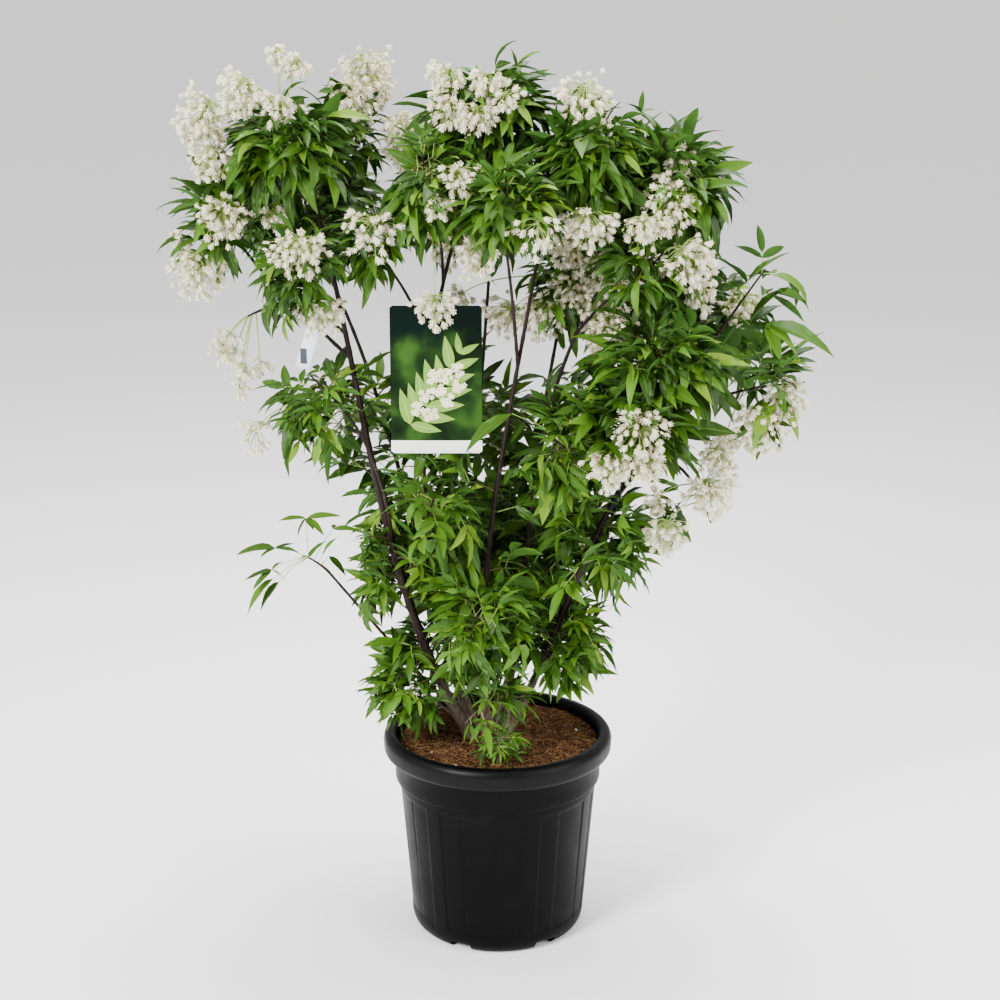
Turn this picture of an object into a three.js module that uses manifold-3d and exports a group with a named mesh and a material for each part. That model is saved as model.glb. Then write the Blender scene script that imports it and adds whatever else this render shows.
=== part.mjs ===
// Potted colchis bladdernut in full bloom, in millimetres, +Z up.
// The origin is the centre of the pot's flat underside, and the side seen first faces -Y.
import * as THREE from 'three';
import { mergeVertices } from 'three/addons/utils/BufferGeometryUtils.js';
import Module from 'manifold-3d';

const wasm = await Module();
wasm.setup();

// Driving dimensions of the pot and its filling

const POT_SIDES = 28;
const RIM_RADIUS = 170;
const RIM_TOP = 307;
const RIM_ROUND = 12;
const RIM_EQUATOR = 290;
const RIM_FOOT = 274;
const COLLAR_FOOT = 234;
const COLLAR_RADIUS = 153;
const BODY_TOP_RADIUS = 147.5;
const BODY_LOW_RADIUS = 130;
const BODY_LOW = 25;
const FOOT_RADIUS = 118;
const FOOT_RING_INNER = 106;
const FLOOR_RADIUS = 88;
const CHANNEL_HEIGHT = 13;
const WALL = 2.6;
const FLOOR = 3.5;
const NOTCH_COUNT = 6;
const NOTCH_WIDTH = 31;
const NOTCH_FIRST_ANGLE = 34;
const SOIL_TOP = 296;
const SOIL_FLAT_RADIUS = 108;
const SOIL_EDGE_DROP = 5;
const CLEARANCE = 0.35;
const JOIN_TOLERANCE = 0.1;
const MERGE_DISTANCE = 1e-3;

// Driving dimensions of stems and boughs

const STEM_SIDES = 6;
const STEM_STEPS = 7;
const STEM_BURIED = 14;
const BOUGH_SIDES = 5;
const BOUGH_STEPS = 3;
const TAPER_POWER = 0.8;
const ROOT_FLARE = 0.45;
const FLARE_HEIGHT = 26;
const FLARE_RING = 0.35;

// Driving dimensions of leaders and shoots, as lengths or as shares of a mass's reach

const LEADER_RADIUS = 3.2;
const LEADER_BEND = 0.6;
const LEADER_LIFT = 0.35;
const LEADER_REACH = 0.38;
const SHOOT_RADIUS = 2.4;
const SHOOT_TAPER = 0.8;
const SHOOT_REACH = 0.38;
const SHOOTS_LEAST = 1.2;
const SHOOT_SPACING = 38;
const SHOOT_SHORTEST = 14;
const SHOOT_FOOT = { middle: 0.62, swing: 0.3, lowest: 0.35, highest: 0.92 };
const SHOOT_BACKWARD = 0.75;

// Driving dimensions of leaves: they are a little larger than life, and hang from their nodes

const LEAF_SCALE = 1.18;
const LEAF_SHORTEST = 0.5;
const LEAF_THICKNESS = 3.4;
const LEAF_SINK = 1.1;
const LEAF_FREE = 2.6;
const LEAF_SPACING = 10.8;
const LEAF_NODES = [0.7, 0.36];
const LEAF_TIP_NODE = 0.98;
const LEAF_FORWARD = 0.55;
const LEAF_DROOP = 0.3;
const LEAF_ROLL = 0.9;
const LEAF_STRAY = 0.16;
const LEAF_TRIES = 10;
const SPACE_EDGE = 1.08;
const SPACE_SLACK = 0.04;

// Driving dimensions of the blossom panicles

const PANICLE_LENGTH = 80;
const PANICLE_RADIUS = 27;
const PANICLE_SIDES = 5;
const PANICLE_SIZES = [1, 0.85, 0.7];
const PANICLE_DISTANCE = 0.74;
const PANICLE_HANG = 0.85;
const PANICLE_LEAN = 0.55;
const PANICLE_FOOT = { middle: 0.6, swing: 0.35, lowest: 0.35, highest: 0.95 };

// Stems rise from the soil as cubic curves: foot, two handles and tip, then foot and tip radius.

const STEMS = {
  stem_left: {
    points: [[-40, -8, 296], [-172, -40, 520], [-186, -52, 850], [-250, -46, 1098]],
    radii: [8.6, 2.7],
  },
  stem_inner_left: {
    points: [[-28, 14, 296], [-122, -28, 526], [-138, -34, 830], [-36, -2, 1108]],
    radii: [5.6, 2.3],
  },
  stem_centre_dark: {
    points: [[-12, 34, 296], [-60, 44, 528], [-24, 46, 770], [-10, 58, 1010]],
    radii: [4.9, 2.2],
  },
  stem_centre_front: {
    points: [[-16, -24, 296], [-46, -80, 544], [20, -78, 806], [66, -44, 1075]],
    radii: [5.6, 2.3],
  },
  stem_centre_right: {
    points: [[-2, 0, 296], [74, 8, 500], [-2, -14, 770], [178, -12, 1022]],
    radii: [5.4, 2.3],
  },
  stem_back_right: {
    points: [[12, 30, 296], [26, 96, 492], [54, 108, 720], [112, 124, 1000]],
    radii: [5.2, 2.3],
  },
  stem_right: {
    points: [[10, -16, 296], [92, -34, 446], [122, -82, 660], [288, -52, 884]],
    radii: [7.4, 2.6],
  },
  stem_back_left: {
    points: [[-44, 38, 296], [-110, 60, 500], [-150, 130, 760], [-252, 112, 980]],
    radii: [5.4, 2.4],
  },
  stem_back_mid: {
    points: [[-6, 58, 296], [60, 120, 480], [110, 160, 640], [222, 104, 800]],
    radii: [5.2, 2.4],
  },
};

// Boughs leave a stem at a share of its length and end, bent by one handle, where their mass starts.

const BOUGHS = {
  bough_left_outer: {
    on: 'stem_left', at: 0.72,
    handle: [-270, -40, 935], tip: [-326, -22, 992], radii: [3.2, 2.2],
  },
  bough_left_back: {
    on: 'stem_left', at: 0.86,
    handle: [-222, -6, 1040], tip: [-210, 34, 1092], radii: [2.8, 2.0],
  },
  bough_left_tassel: {
    on: 'stem_left', at: 0.76,
    handle: [-262, -16, 958], tip: [-326, 6, 936], radii: [2.6, 1.8],
  },
  bough_mid_left: {
    on: 'stem_left', at: 0.4,
    handle: [-152, -84, 700], tip: [-190, -76, 772], radii: [3.4, 2.2],
  },
  bough_left_spray: {
    on: 'stem_left', at: 0.07,
    handle: [-130, 12, 400], tip: [-246, 2, 548], radii: [3.2, 2.0],
  },
  bough_left_inner: {
    on: 'stem_inner_left', at: 0.74,
    handle: [-122, -36, 962], tip: [-142, -52, 992], radii: [2.6, 2.0],
  },
  bough_centre_left: {
    on: 'stem_inner_left', at: 0.84,
    handle: [-74, -42, 1030], tip: [-84, -64, 1064], radii: [2.6, 2.0],
  },
  bough_centre_front: {
    on: 'stem_centre_front', at: 0.74,
    handle: [22, -96, 960], tip: [12, -116, 1034], radii: [2.8, 2.0],
  },
  bough_shoulder_low: {
    on: 'stem_centre_right', at: 0.84,
    handle: [138, -44, 950], tip: [170, -70, 972], radii: [2.6, 2.0],
  },
  bough_right_tip: {
    on: 'stem_right', at: 0.8,
    handle: [250, -70, 806], tip: [310, -66, 824], radii: [3.0, 2.2],
  },
  bough_right_hang: {
    on: 'stem_right', at: 0.66,
    handle: [214, -78, 760], tip: [250, -82, 730], radii: [2.8, 2.0],
  },
};

// Each mass of foliage keeps to its own ellipsoid. It starts at a bough's or stem's tip, or on the
// side of a stem at a share of its length. Blooms hang at the listed bearings, in degrees: first
// round the mass from +X towards +Y, then up. Leaves are given by their length.

const MASSES = {
  left_top: {
    on: 'stem_left', centre: [-280, -62, 1164], radii: [92, 85, 82], leaf: 112,
    blooms: [[-150, 40], [-100, 22], [170, 10]],
  },
  left_top_back: {
    on: 'bough_left_back', centre: [-200, 60, 1166], radii: [84, 88, 88], leaf: 112,
    blooms: [[-80, 58], [-20, 34]],
  },
  left_outer: {
    on: 'bough_left_outer', centre: [-376, -12, 1058], radii: [78, 82, 96], leaf: 108,
    blooms: [[-120, 46], [-150, -34], [110, 10]],
  },
  left_low: {
    on: 'stem_left', at: 0.8, centre: [-268, -112, 1000], radii: [62, 68, 80], leaf: 100,
    blooms: [[-90, 40], [-62, -34]],
  },
  left_inner: {
    on: 'bough_left_inner', centre: [-168, -72, 1040], radii: [58, 72, 72], leaf: 100,
    blooms: [[-88, 20]],
  },
  left_tassel: {
    on: 'bough_left_tassel', centre: [-352, 12, 886], radii: [52, 52, 78], leaf: 70,
    blooms: [[-130, -4], [-60, -40]],
  },
  left_back: {
    on: 'stem_back_left', centre: [-276, 140, 1056], radii: [120, 104, 108], leaf: 112,
    blooms: [[100, 30], [150, -10], [60, -20]],
  },
  centre_left: {
    on: 'bough_centre_left', centre: [-94, -88, 1118], radii: [62, 78, 86], leaf: 106,
    blooms: [[-100, 6], [-60, -66]],
  },
  centre_top: {
    on: 'stem_inner_left', centre: [-12, -18, 1206], radii: [94, 86, 86], leaf: 112,
    blooms: [[-130, 26], [-84, 40]],
  },
  centre_front: {
    on: 'bough_centre_front', centre: [12, -132, 1098], radii: [78, 72, 74], leaf: 108,
    blooms: [[-70, -28]],
  },
  centre_right: {
    on: 'stem_centre_front', centre: [126, -62, 1146], radii: [78, 86, 94], leaf: 110,
    blooms: [[-90, 62], [-88, -40]],
  },
  shoulder: {
    on: 'stem_centre_right', centre: [236, -24, 1106], radii: [82, 88, 98], leaf: 112,
    blooms: [[-70, 12]],
  },
  centre_back: {
    on: 'stem_centre_dark', centre: [-40, 152, 1082], radii: [130, 112, 116], leaf: 112,
    blooms: [[70, 30], [120, 0], [-120, -50]],
  },
  shoulder_back: {
    on: 'stem_back_right', centre: [166, 164, 1078], radii: [124, 112, 116], leaf: 112,
    blooms: [[60, 30], [20, 0], [110, -10]],
  },
  under_centre: {
    on: 'stem_centre_right', at: 0.9, centre: [118, 44, 960], radii: [94, 80, 78], leaf: 92,
    blooms: [[-120, 10], [-40, -40]],
  },
  shoulder_low: {
    on: 'bough_shoulder_low', centre: [204, -98, 1004], radii: [70, 68, 62], leaf: 98,
    blooms: [[-110, 34]],
  },
  right_top: {
    on: 'stem_right', centre: [352, -22, 958], radii: [84, 88, 76], leaf: 112,
    blooms: [[60, 20]],
  },
  right_mid: {
    on: 'stem_right', at: 0.9, centre: [216, -122, 880], radii: [110, 78, 72], leaf: 108,
    blooms: [],
  },
  right_low: {
    on: 'stem_right', at: 0.72, centre: [186, -138, 806], radii: [92, 70, 72], leaf: 100,
    blooms: [[-95, 6], [-125, -34]],
  },
  right_tip: {
    on: 'bough_right_tip', centre: [386, -72, 830], radii: [76, 74, 76], leaf: 108,
    blooms: [[-70, -6]],
  },
  right_hang: {
    on: 'bough_right_hang', centre: [272, -88, 684], radii: [72, 66, 86], leaf: 100,
    blooms: [[-60, 20], [-100, -34]],
  },
  right_back: {
    on: 'stem_back_mid', centre: [286, 134, 872], radii: [130, 112, 112], leaf: 108,
    blooms: [[40, -10], [90, -20]],
  },
  mid_left: {
    on: 'bough_mid_left', centre: [-232, -64, 812], radii: [94, 74, 88], leaf: 104,
    blooms: [[-160, -10]],
  },
  mid_centre: {
    on: 'stem_inner_left', at: 0.44, centre: [-92, -100, 668], radii: [92, 70, 92], leaf: 100,
    blooms: [],
  },
  mid_right: {
    on: 'stem_centre_right', at: 0.66, centre: [92, -104, 756], radii: [84, 68, 84], leaf: 100,
    blooms: [],
  },
  mid_back: {
    on: 'stem_centre_dark', at: 0.6, centre: [-40, 166, 780], radii: [146, 104, 116], leaf: 112,
    blooms: [],
  },
  mid_right_low: {
    on: 'stem_right', at: 0.5, centre: [150, -8, 592], radii: [78, 76, 94], leaf: 96,
    blooms: [],
  },
  low_left: {
    on: 'stem_left', at: 0.26, centre: [-150, -22, 552], radii: [78, 78, 94], leaf: 96,
    blooms: [],
  },
  low_front: {
    on: 'stem_centre_front', at: 0.24, centre: [-30, -130, 508], radii: [104, 68, 94], leaf: 98,
    blooms: [],
  },
  low_right: {
    on: 'stem_right', at: 0.22, centre: [92, -48, 458], radii: [78, 74, 84], leaf: 94,
    blooms: [],
  },
  low_back: {
    on: 'stem_back_mid', at: 0.3, centre: [0, 150, 530], radii: [140, 96, 126], leaf: 110,
    blooms: [],
  },
  foot_left: {
    on: 'stem_left', at: 0.05, centre: [-124, -34, 388], radii: [72, 76, 76], leaf: 88,
    blooms: [],
  },
  foot_front: {
    on: 'stem_centre_front', at: 0.07, centre: [-14, -104, 384], radii: [80, 56, 62], leaf: 84,
    blooms: [],
  },
  left_spray: {
    on: 'bough_left_spray', centre: [-300, 2, 572], radii: [92, 58, 70], leaf: 88,
    blooms: [],
  },
  sprout: {
    on: 'soil', centre: [0, -108, 324], radii: [48, 34, 32], leaf: 48,
    blooms: [],
  },
};

// Label card, the tie that holds it to the inner left stem, and the paper strip on a left bough

const CARD_WIDTH = 126;
const CARD_HEIGHT = 206;
const CARD_THICKNESS = 0.8;
const CARD_CENTRE = [-84, -88, 852];
const CARD_SLOT = [20, 6];
const CARD_SLOT_DROP = 14;
const TIE_RADIUS = 1.5;
const TIE_TAIL = 24;
const TIE_ON = 'stem_inner_left';
const TIE_AT = 0.8;
const STRIP_WIDTH = 22;
const STRIP_LENGTH = 84;
const STRIP_THICKNESS = 0.7;
const STRIP_LOOP = 1.1;
const STRIP_ON = 'bough_left_tassel';
const STRIP_AT = 0.36;

// Small helpers on vectors and solids

const vec = (p) => new THREE.Vector3(p[0], p[1], p[2]);
const UP = new THREE.Vector3(0, 0, 1);
const DOWN = new THREE.Vector3(0, 0, -1);

/** A closed solid from corner points and triangles that face out. */
function solidFrom(points, triangles) {
  const vertProperties = new Float32Array(points.flatMap((p) => [p.x, p.y, p.z]));
  const triVerts = new Uint32Array(triangles.flat());
  return new wasm.Manifold(new wasm.Mesh({ numProp: 3, vertProperties, triVerts }));
}

/** A repeatable stream of numbers from 0 to 1. */
function seededRandom(seed) {
  let state = seed >>> 0;
  return () => {
    state = (state + 0x6d2b79f5) >>> 0;
    let t = Math.imul(state ^ (state >>> 15), state | 1);
    t = (t + Math.imul(t ^ (t >>> 7), t | 61)) ^ t;
    return ((t ^ (t >>> 14)) >>> 0) / 4294967296;
  };
}

/** Rings of one size-changing section carried along points, closed by a fan at each end. */
function tube(centres, radii, sides, firstSide = null) {
  const points = [];
  const triangles = [];
  const last = centres.length - 1;
  const tangentAt = (i) => {
    const before = centres[Math.max(i - 1, 0)];
    const after = centres[Math.min(i + 1, last)];
    return after.clone().sub(before).normalize();
  };
  let side = firstSide ? firstSide.clone() : new THREE.Vector3(1, 0, 0);
  if (Math.abs(side.dot(tangentAt(0))) > 0.9) side = new THREE.Vector3(0, 1, 0);
  centres.forEach((centre, i) => {
    const tangent = tangentAt(i);
    side.sub(tangent.clone().multiplyScalar(side.dot(tangent))).normalize();
    const other = tangent.clone().cross(side);
    for (let k = 0; k < sides; k += 1) {
      const angle = (2 * Math.PI * k) / sides;
      const out = side.clone().multiplyScalar(Math.cos(angle) * radii[i]);
      out.addScaledVector(other, Math.sin(angle) * radii[i]);
      points.push(centre.clone().add(out));
    }
  });
  for (let i = 0; i < last; i += 1) {
    for (let k = 0; k < sides; k += 1) {
      const a = i * sides + k;
      const b = i * sides + ((k + 1) % sides);
      triangles.push([a, b, b + sides], [a, b + sides, a + sides]);
    }
  }
  for (let k = 1; k < sides - 1; k += 1) {
    triangles.push([0, k + 1, k]);
    triangles.push([last * sides, last * sides + k, last * sides + k + 1]);
  }
  return solidFrom(points, triangles);
}

/** The solid of a geometry class: only positions are kept, and corner points at one place are joined. */
function solidOf(geometry) {
  const bare = new THREE.BufferGeometry();
  bare.setAttribute('position', geometry.getAttribute('position'));
  bare.setIndex(geometry.getIndex());
  const merged = mergeVertices(bare, MERGE_DISTANCE);
  const vertProperties = new Float32Array(merged.getAttribute('position').array);
  const corners = Array.from(merged.getIndex().array);
  const triVerts = [];
  for (let i = 0; i < corners.length; i += 3) {
    const [a, b, c] = corners.slice(i, i + 3);
    if (a !== b && b !== c && c !== a) triVerts.push(a, b, c);
  }
  const mesh = new wasm.Mesh({ numProp: 3, vertProperties, triVerts: new Uint32Array(triVerts) });
  return new wasm.Manifold(mesh);
}

/** A box given by its centre, its size, the direction of its width and the direction of its height. */
function slab(centre, size, across = new THREE.Vector3(1, 0, 0), up = UP) {
  const depth = up.clone().cross(across).normalize();
  const turn = new THREE.Matrix4().makeBasis(across, depth, up).setPosition(centre);
  return solidOf(new THREE.BoxGeometry(...size).applyMatrix4(turn));
}

/** A profile of radius and height turned round Z, with a flat side to the front. */
function turned(profile) {
  const outline = profile.map(([radius, height]) => new THREE.Vector2(radius, height));
  const lathe = new THREE.LatheGeometry(outline, POT_SIDES, Math.PI / POT_SIDES);
  return solidOf(lathe.rotateX(Math.PI / 2));
}

/** Points on a quarter or half turn of an ellipse, in degrees, for a profile. */
function arc(centre, radii, from, to, steps) {
  return Array.from({ length: steps + 1 }, (_, i) => {
    const angle = THREE.MathUtils.degToRad(from + ((to - from) * i) / steps);
    return [centre[0] + radii[0] * Math.cos(angle), centre[1] + radii[1] * Math.sin(angle)];
  });
}

/** The one body with the greatest volume: sealed hollows and loose scraps are left behind. */
function mainBody(solid) {
  const bodies = solid.decompose();
  return bodies.reduce((best, body) => (body.volume() > best.volume() ? body : best));
}

// Pot, with a rolled rim, a collar, a tapering body, and a foot ring with drain notches

function innerRadius(height) {
  const share = (height - BODY_LOW) / (COLLAR_FOOT - BODY_LOW);
  return THREE.MathUtils.lerp(BODY_LOW_RADIUS, BODY_TOP_RADIUS, share) - WALL;
}

function makePot() {
  const rimInner = COLLAR_RADIUS - WALL;
  const profile = [
    [0, 0],
    [FLOOR_RADIUS, 0],
    [FLOOR_RADIUS + 4, CHANNEL_HEIGHT],
    [FOOT_RING_INNER - 3, CHANNEL_HEIGHT],
    [FOOT_RING_INNER, 0],
    [FOOT_RADIUS, 0],
    ...arc([FOOT_RADIUS - 2, BODY_LOW], [BODY_LOW_RADIUS - FOOT_RADIUS + 2, BODY_LOW - 3], -62, 0, 3),
    [BODY_TOP_RADIUS, COLLAR_FOOT],
    [COLLAR_RADIUS - 2.5, COLLAR_FOOT + 1.5],
    [COLLAR_RADIUS, RIM_FOOT - 1],
    ...arc([RIM_RADIUS - RIM_ROUND, RIM_EQUATOR], [RIM_ROUND, RIM_EQUATOR - RIM_FOOT], -66, 0, 2),
    ...arc([RIM_RADIUS - RIM_ROUND, RIM_EQUATOR], [RIM_ROUND, RIM_TOP - RIM_EQUATOR], 30, 90, 2),
    [rimInner + 2, RIM_TOP - 3],
    [rimInner, RIM_FOOT],
    [innerRadius(COLLAR_FOOT), COLLAR_FOOT],
    [innerRadius(CHANNEL_HEIGHT + FLOOR + 1), CHANNEL_HEIGHT + FLOOR + 1],
    [FLOOR_RADIUS + 1, CHANNEL_HEIGHT + FLOOR],
    [FLOOR_RADIUS - 4, FLOOR],
    [0, FLOOR],
  ];
  let pot = turned(profile);
  for (let i = 0; i < NOTCH_COUNT; i += 1) {
    const angle = THREE.MathUtils.degToRad(NOTCH_FIRST_ANGLE - 90 + (360 / NOTCH_COUNT) * i);
    const out = new THREE.Vector3(Math.cos(angle), Math.sin(angle), 0);
    const across = new THREE.Vector3(-out.y, out.x, 0);
    const centre = out.clone().multiplyScalar(FOOT_RADIUS + 2).setZ(0);
    pot = pot.subtract(slab(centre, [NOTCH_WIDTH, 40, 2 * CHANNEL_HEIGHT - 1], across));
  }
  return mainBody(pot);
}

function makeSoil() {
  const bottom = CHANNEL_HEIGHT + FLOOR + 1 + CLEARANCE;
  const collar = COLLAR_RADIUS - WALL - CLEARANCE;
  return turned([
    [0, FLOOR + CLEARANCE],
    [FLOOR_RADIUS - 5 - CLEARANCE, FLOOR + CLEARANCE],
    [FLOOR_RADIUS - 1, bottom],
    [innerRadius(bottom) - CLEARANCE, bottom],
    [innerRadius(COLLAR_FOOT) - CLEARANCE, COLLAR_FOOT],
    [collar, RIM_FOOT],
    [collar, SOIL_TOP - SOIL_EDGE_DROP],
    [SOIL_FLAT_RADIUS, SOIL_TOP],
    [0, SOIL_TOP],
  ]);
}

// Limbs

const curves = {};
const limbRadii = {};

function radiusOf(name, share) {
  const [foot, tip] = limbRadii[name];
  return THREE.MathUtils.lerp(foot, tip, Math.pow(share, TAPER_POWER));
}

/** A tapering limb on its own curve; a stem flares where it meets the soil. */
function limbSolid(name, extra = 0) {
  const curve = curves[name];
  const isStem = name in STEMS;
  const steps = isStem ? STEM_STEPS : BOUGH_STEPS;
  const shares = Array.from({ length: steps + 1 }, (_, i) => i / steps);
  if (isStem) shares.splice(1, 0, FLARE_RING / steps);
  const centres = shares.map((t) => curve.getPoint(t));
  const radii = shares.map((t, i) => {
    const rise = centres[i].z - centres[0].z;
    const flare = isStem ? ROOT_FLARE * Math.exp(-rise / FLARE_HEIGHT) : 0;
    return radiusOf(name, t) * (1 + flare) + extra;
  });
  return tube(centres, radii, isStem ? STEM_SIDES : BOUGH_SIDES);
}

/** A stem keeps only what stands above the soil, so its foot is one flat level cut. */
function makeStem(name) {
  const { points, radii } = STEMS[name];
  const start = vec(points[0]);
  const handle = vec(points[1]);
  const below = start.clone().addScaledVector(start.clone().sub(handle).normalize(), STEM_BURIED);
  curves[name] = new THREE.CubicBezierCurve3(below, handle, vec(points[2]), vec(points[3]));
  limbRadii[name] = radii;
  const ground = slab(start.clone().setZ(SOIL_TOP + CLEARANCE - RIM_TOP / 2), [RIM_TOP, RIM_TOP, RIM_TOP]);
  return mainBody(limbSolid(name).subtract(ground));
}

/** A bough starts inside its stem and is cut back to a saddle that clears the bark. */
function makeBough(name) {
  const { on, at, handle, tip, radii } = BOUGHS[name];
  const start = curves[on].getPoint(at);
  curves[name] = new THREE.QuadraticBezierCurve3(start, vec(handle), vec(tip));
  limbRadii[name] = radii;
  return mainBody(limbSolid(name).subtract(limbSolid(on, CLEARANCE)));
}

// Foliage

/** Normalised distance of a point from a mass's centre: 1 is the edge of its space. */
function depthIn(mass, p) {
  const [x, y, z] = mass.centre;
  const [rx, ry, rz] = mass.radii;
  return Math.hypot((p.x - x) / rx, (p.y - y) / ry, (p.z - z) / rz);
}

/** The mean radius of a mass's space. */
function massSize(name) {
  const [rx, ry, rz] = MASSES[name].radii;
  return Math.cbrt(rx * ry * rz);
}

/** How far a ray from p along a unit direction runs before it leaves the mass's space. */
function reachIn(mass, p, direction) {
  const c = mass.centre;
  const r = mass.radii;
  const o = [(p.x - c[0]) / r[0], (p.y - c[1]) / r[1], (p.z - c[2]) / r[2]];
  const d = [direction.x / r[0], direction.y / r[1], direction.z / r[2]];
  const a = d[0] * d[0] + d[1] * d[1] + d[2] * d[2];
  const b = o[0] * d[0] + o[1] * d[1] + o[2] * d[2];
  const k = o[0] * o[0] + o[1] * o[1] + o[2] * o[2] - 1;
  const root = b * b - a * k;
  return root > 0 ? (-b + Math.sqrt(root)) / a : 0;
}

/** Whether a point lies nearer to this mass, in its own measure, than to any other. */
function ownsPoint(name, p) {
  const own = depthIn(MASSES[name], p);
  if (own > SPACE_EDGE) return false;
  return Object.keys(MASSES).every(
    (other) => other === name || depthIn(MASSES[other], p) > own - SPACE_SLACK,
  );
}

/** The i-th of n directions spread evenly over a sphere by the golden angle. */
function spreadDirection(i, n, turn) {
  const z = 1 - (2 * (i + 0.5)) / n;
  const angle = i * Math.PI * (3 - Math.sqrt(5)) + turn;
  const ring = Math.sqrt(1 - z * z);
  return new THREE.Vector3(ring * Math.cos(angle), ring * Math.sin(angle), z);
}

/** A compound leaf: three drooping leaflets that widen from one pointed root, in one thin solid. */
function leafSolid(root, along, normal, length, rootShift, extra = 0) {
  const across = normal.clone().cross(along).normalize();
  const place = (u, v, w) => root.clone()
    .addScaledVector(along, u * length)
    .addScaledVector(across, v * length)
    .addScaledVector(normal, w * length);
  const outline = [
    [0, 0, 0], [0.58, -0.42, -0.2], [0.56, -0.12, 0],
    [1, 0, -0.28], [0.56, 0.12, 0], [0.58, 0.42, -0.2],
  ];
  const centre = place(0.42, 0, 0.04);
  const points = outline.map(([u, v, w]) => {
    const p = place(u, v, w);
    const out = p.clone().sub(centre).normalize();
    return p.addScaledVector(out, extra);
  });
  points[0].addScaledVector(along, rootShift);
  const half = LEAF_THICKNESS / 2 + extra;
  points.push(centre.clone().addScaledVector(normal, half));
  points.push(centre.clone().addScaledVector(normal, -half));
  const triangles = [];
  const edge = outline.length;
  for (let k = 0; k < edge; k += 1) {
    const n = (k + 1) % edge;
    triangles.push([k, n, edge], [n, k, edge + 1]);
  }
  return { solid: solidFrom(points, triangles), tips: [points[3], points[1], points[5]] };
}

/** A drooping panicle: a stalk from the leader that swells into a cluster and narrows to its tip. */
function panicleSolid(foot, top, axis, length, radius, extra = 0) {
  const shares = [0, 0.36, 1];
  const widths = [0.3, 1, 0.34];
  const centres = shares.map((t) => top.clone().addScaledVector(axis, t * length));
  const radii = widths.map((w) => w * radius + extra);
  return tube([foot, ...centres], [SHOOT_RADIUS + extra, ...radii], PANICLE_SIDES);
}

const placed = [];

function boxesMeet(a, b) {
  return [0, 1, 2].every((k) => a.min[k] <= b.max[k] && b.min[k] <= a.max[k]);
}

/** Whether a solid touches anything placed so far, apart from the twigs that it grows from. */
function touches(solid, carriers = []) {
  const box = solid.boundingBox();
  return placed.some((other) => !carriers.includes(other.solid)
    && boxesMeet(box, other.box)
    && !solid.intersect(other.solid).isEmpty());
}

function place(solid) {
  placed.push({ solid, box: solid.boundingBox() });
}

/** The way a limb's flat end faces. */
function endHeading(name) {
  const steps = name in STEMS ? STEM_STEPS : BOUGH_STEPS;
  const tip = curves[name].getPoint(1);
  return tip.sub(curves[name].getPoint(1 - 1 / steps)).normalize();
}

/** The leader runs from the mass's foot through its centre and bends up at its end. */
function leaderCurve(name) {
  const mass = MASSES[name];
  const centre = vec(mass.centre);
  let start;
  let heading;
  if (mass.on === 'soil') {
    start = new THREE.Vector3(centre.x, centre.y + 6, SOIL_TOP + CLEARANCE);
    heading = UP.clone();
  } else if (mass.at === undefined) {
    heading = endHeading(mass.on);
    start = curves[mass.on].getPoint(1).addScaledVector(heading, -LEADER_RADIUS);
  } else {
    const foot = curves[mass.on].getPoint(mass.at);
    heading = centre.clone().sub(foot).normalize();
    start = foot;
  }
  const span = centre.distanceTo(start);
  const handle = start.clone().addScaledVector(heading, span * LEADER_BEND);
  const away = centre.clone().sub(start).normalize().addScaledVector(UP, LEADER_LIFT).normalize();
  const end = centre.clone().addScaledVector(away, LEADER_REACH * reachIn(mass, centre, away));
  return new THREE.QuadraticBezierCurve3(start, handle, end);
}

/** How far along its leader a shoot or panicle starts: further where it points the leader's way. */
function footShare(rule, forward) {
  return THREE.MathUtils.clamp(rule.middle + rule.swing * forward, rule.lowest, rule.highest);
}

/** A three-sided twig along a curve. */
function twig(curve, steps, footRadius, tipRadius, extra = 0) {
  const shares = Array.from({ length: steps + 1 }, (_, i) => i / steps);
  const radii = shares.map((t) => THREE.MathUtils.lerp(footRadius, tipRadius, t) + extra);
  return tube(shares.map((t) => curve.getPoint(t)), radii, 3);
}

/** Straight shoots, each from the leader towards one of the evenly spread directions. */
function shootLines(name, leader) {
  const mass = MASSES[name];
  const centre = vec(mass.centre);
  const count = Math.round(SHOOTS_LEAST + massSize(name) / SHOOT_SPACING);
  const back = leader.getPoint(0).sub(centre).normalize();
  const run = leader.getPoint(1).sub(leader.getPoint(0)).normalize();
  const shoots = [];
  for (let i = 0; i < count; i += 1) {
    const direction = spreadDirection(i, count, mass.radii[0]);
    if (direction.dot(back) > SHOOT_BACKWARD) continue;
    const foot = leader.getPoint(footShare(SHOOT_FOOT, direction.dot(run)));
    const tip = centre.clone().addScaledVector(direction, SHOOT_REACH * reachIn(mass, centre, direction));
    if (foot.distanceTo(tip) > SHOOT_SHORTEST) shoots.push(new THREE.LineCurve3(foot, tip));
  }
  return shoots;
}

/** Leaf bearings at a node: an opposite pair, turned a quarter from the pair before. */
function leafHeadings(curve, share, turn) {
  const tangent = curve.getTangent(share);
  const side = tangent.clone().cross(UP);
  if (side.length() < 0.2) side.set(1, 0, 0);
  side.normalize().applyAxisAngle(tangent, turn);
  return [1, -1].map((sign) => tangent.clone().multiplyScalar(LEAF_FORWARD)
    .addScaledVector(side, sign).normalize());
}

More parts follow.
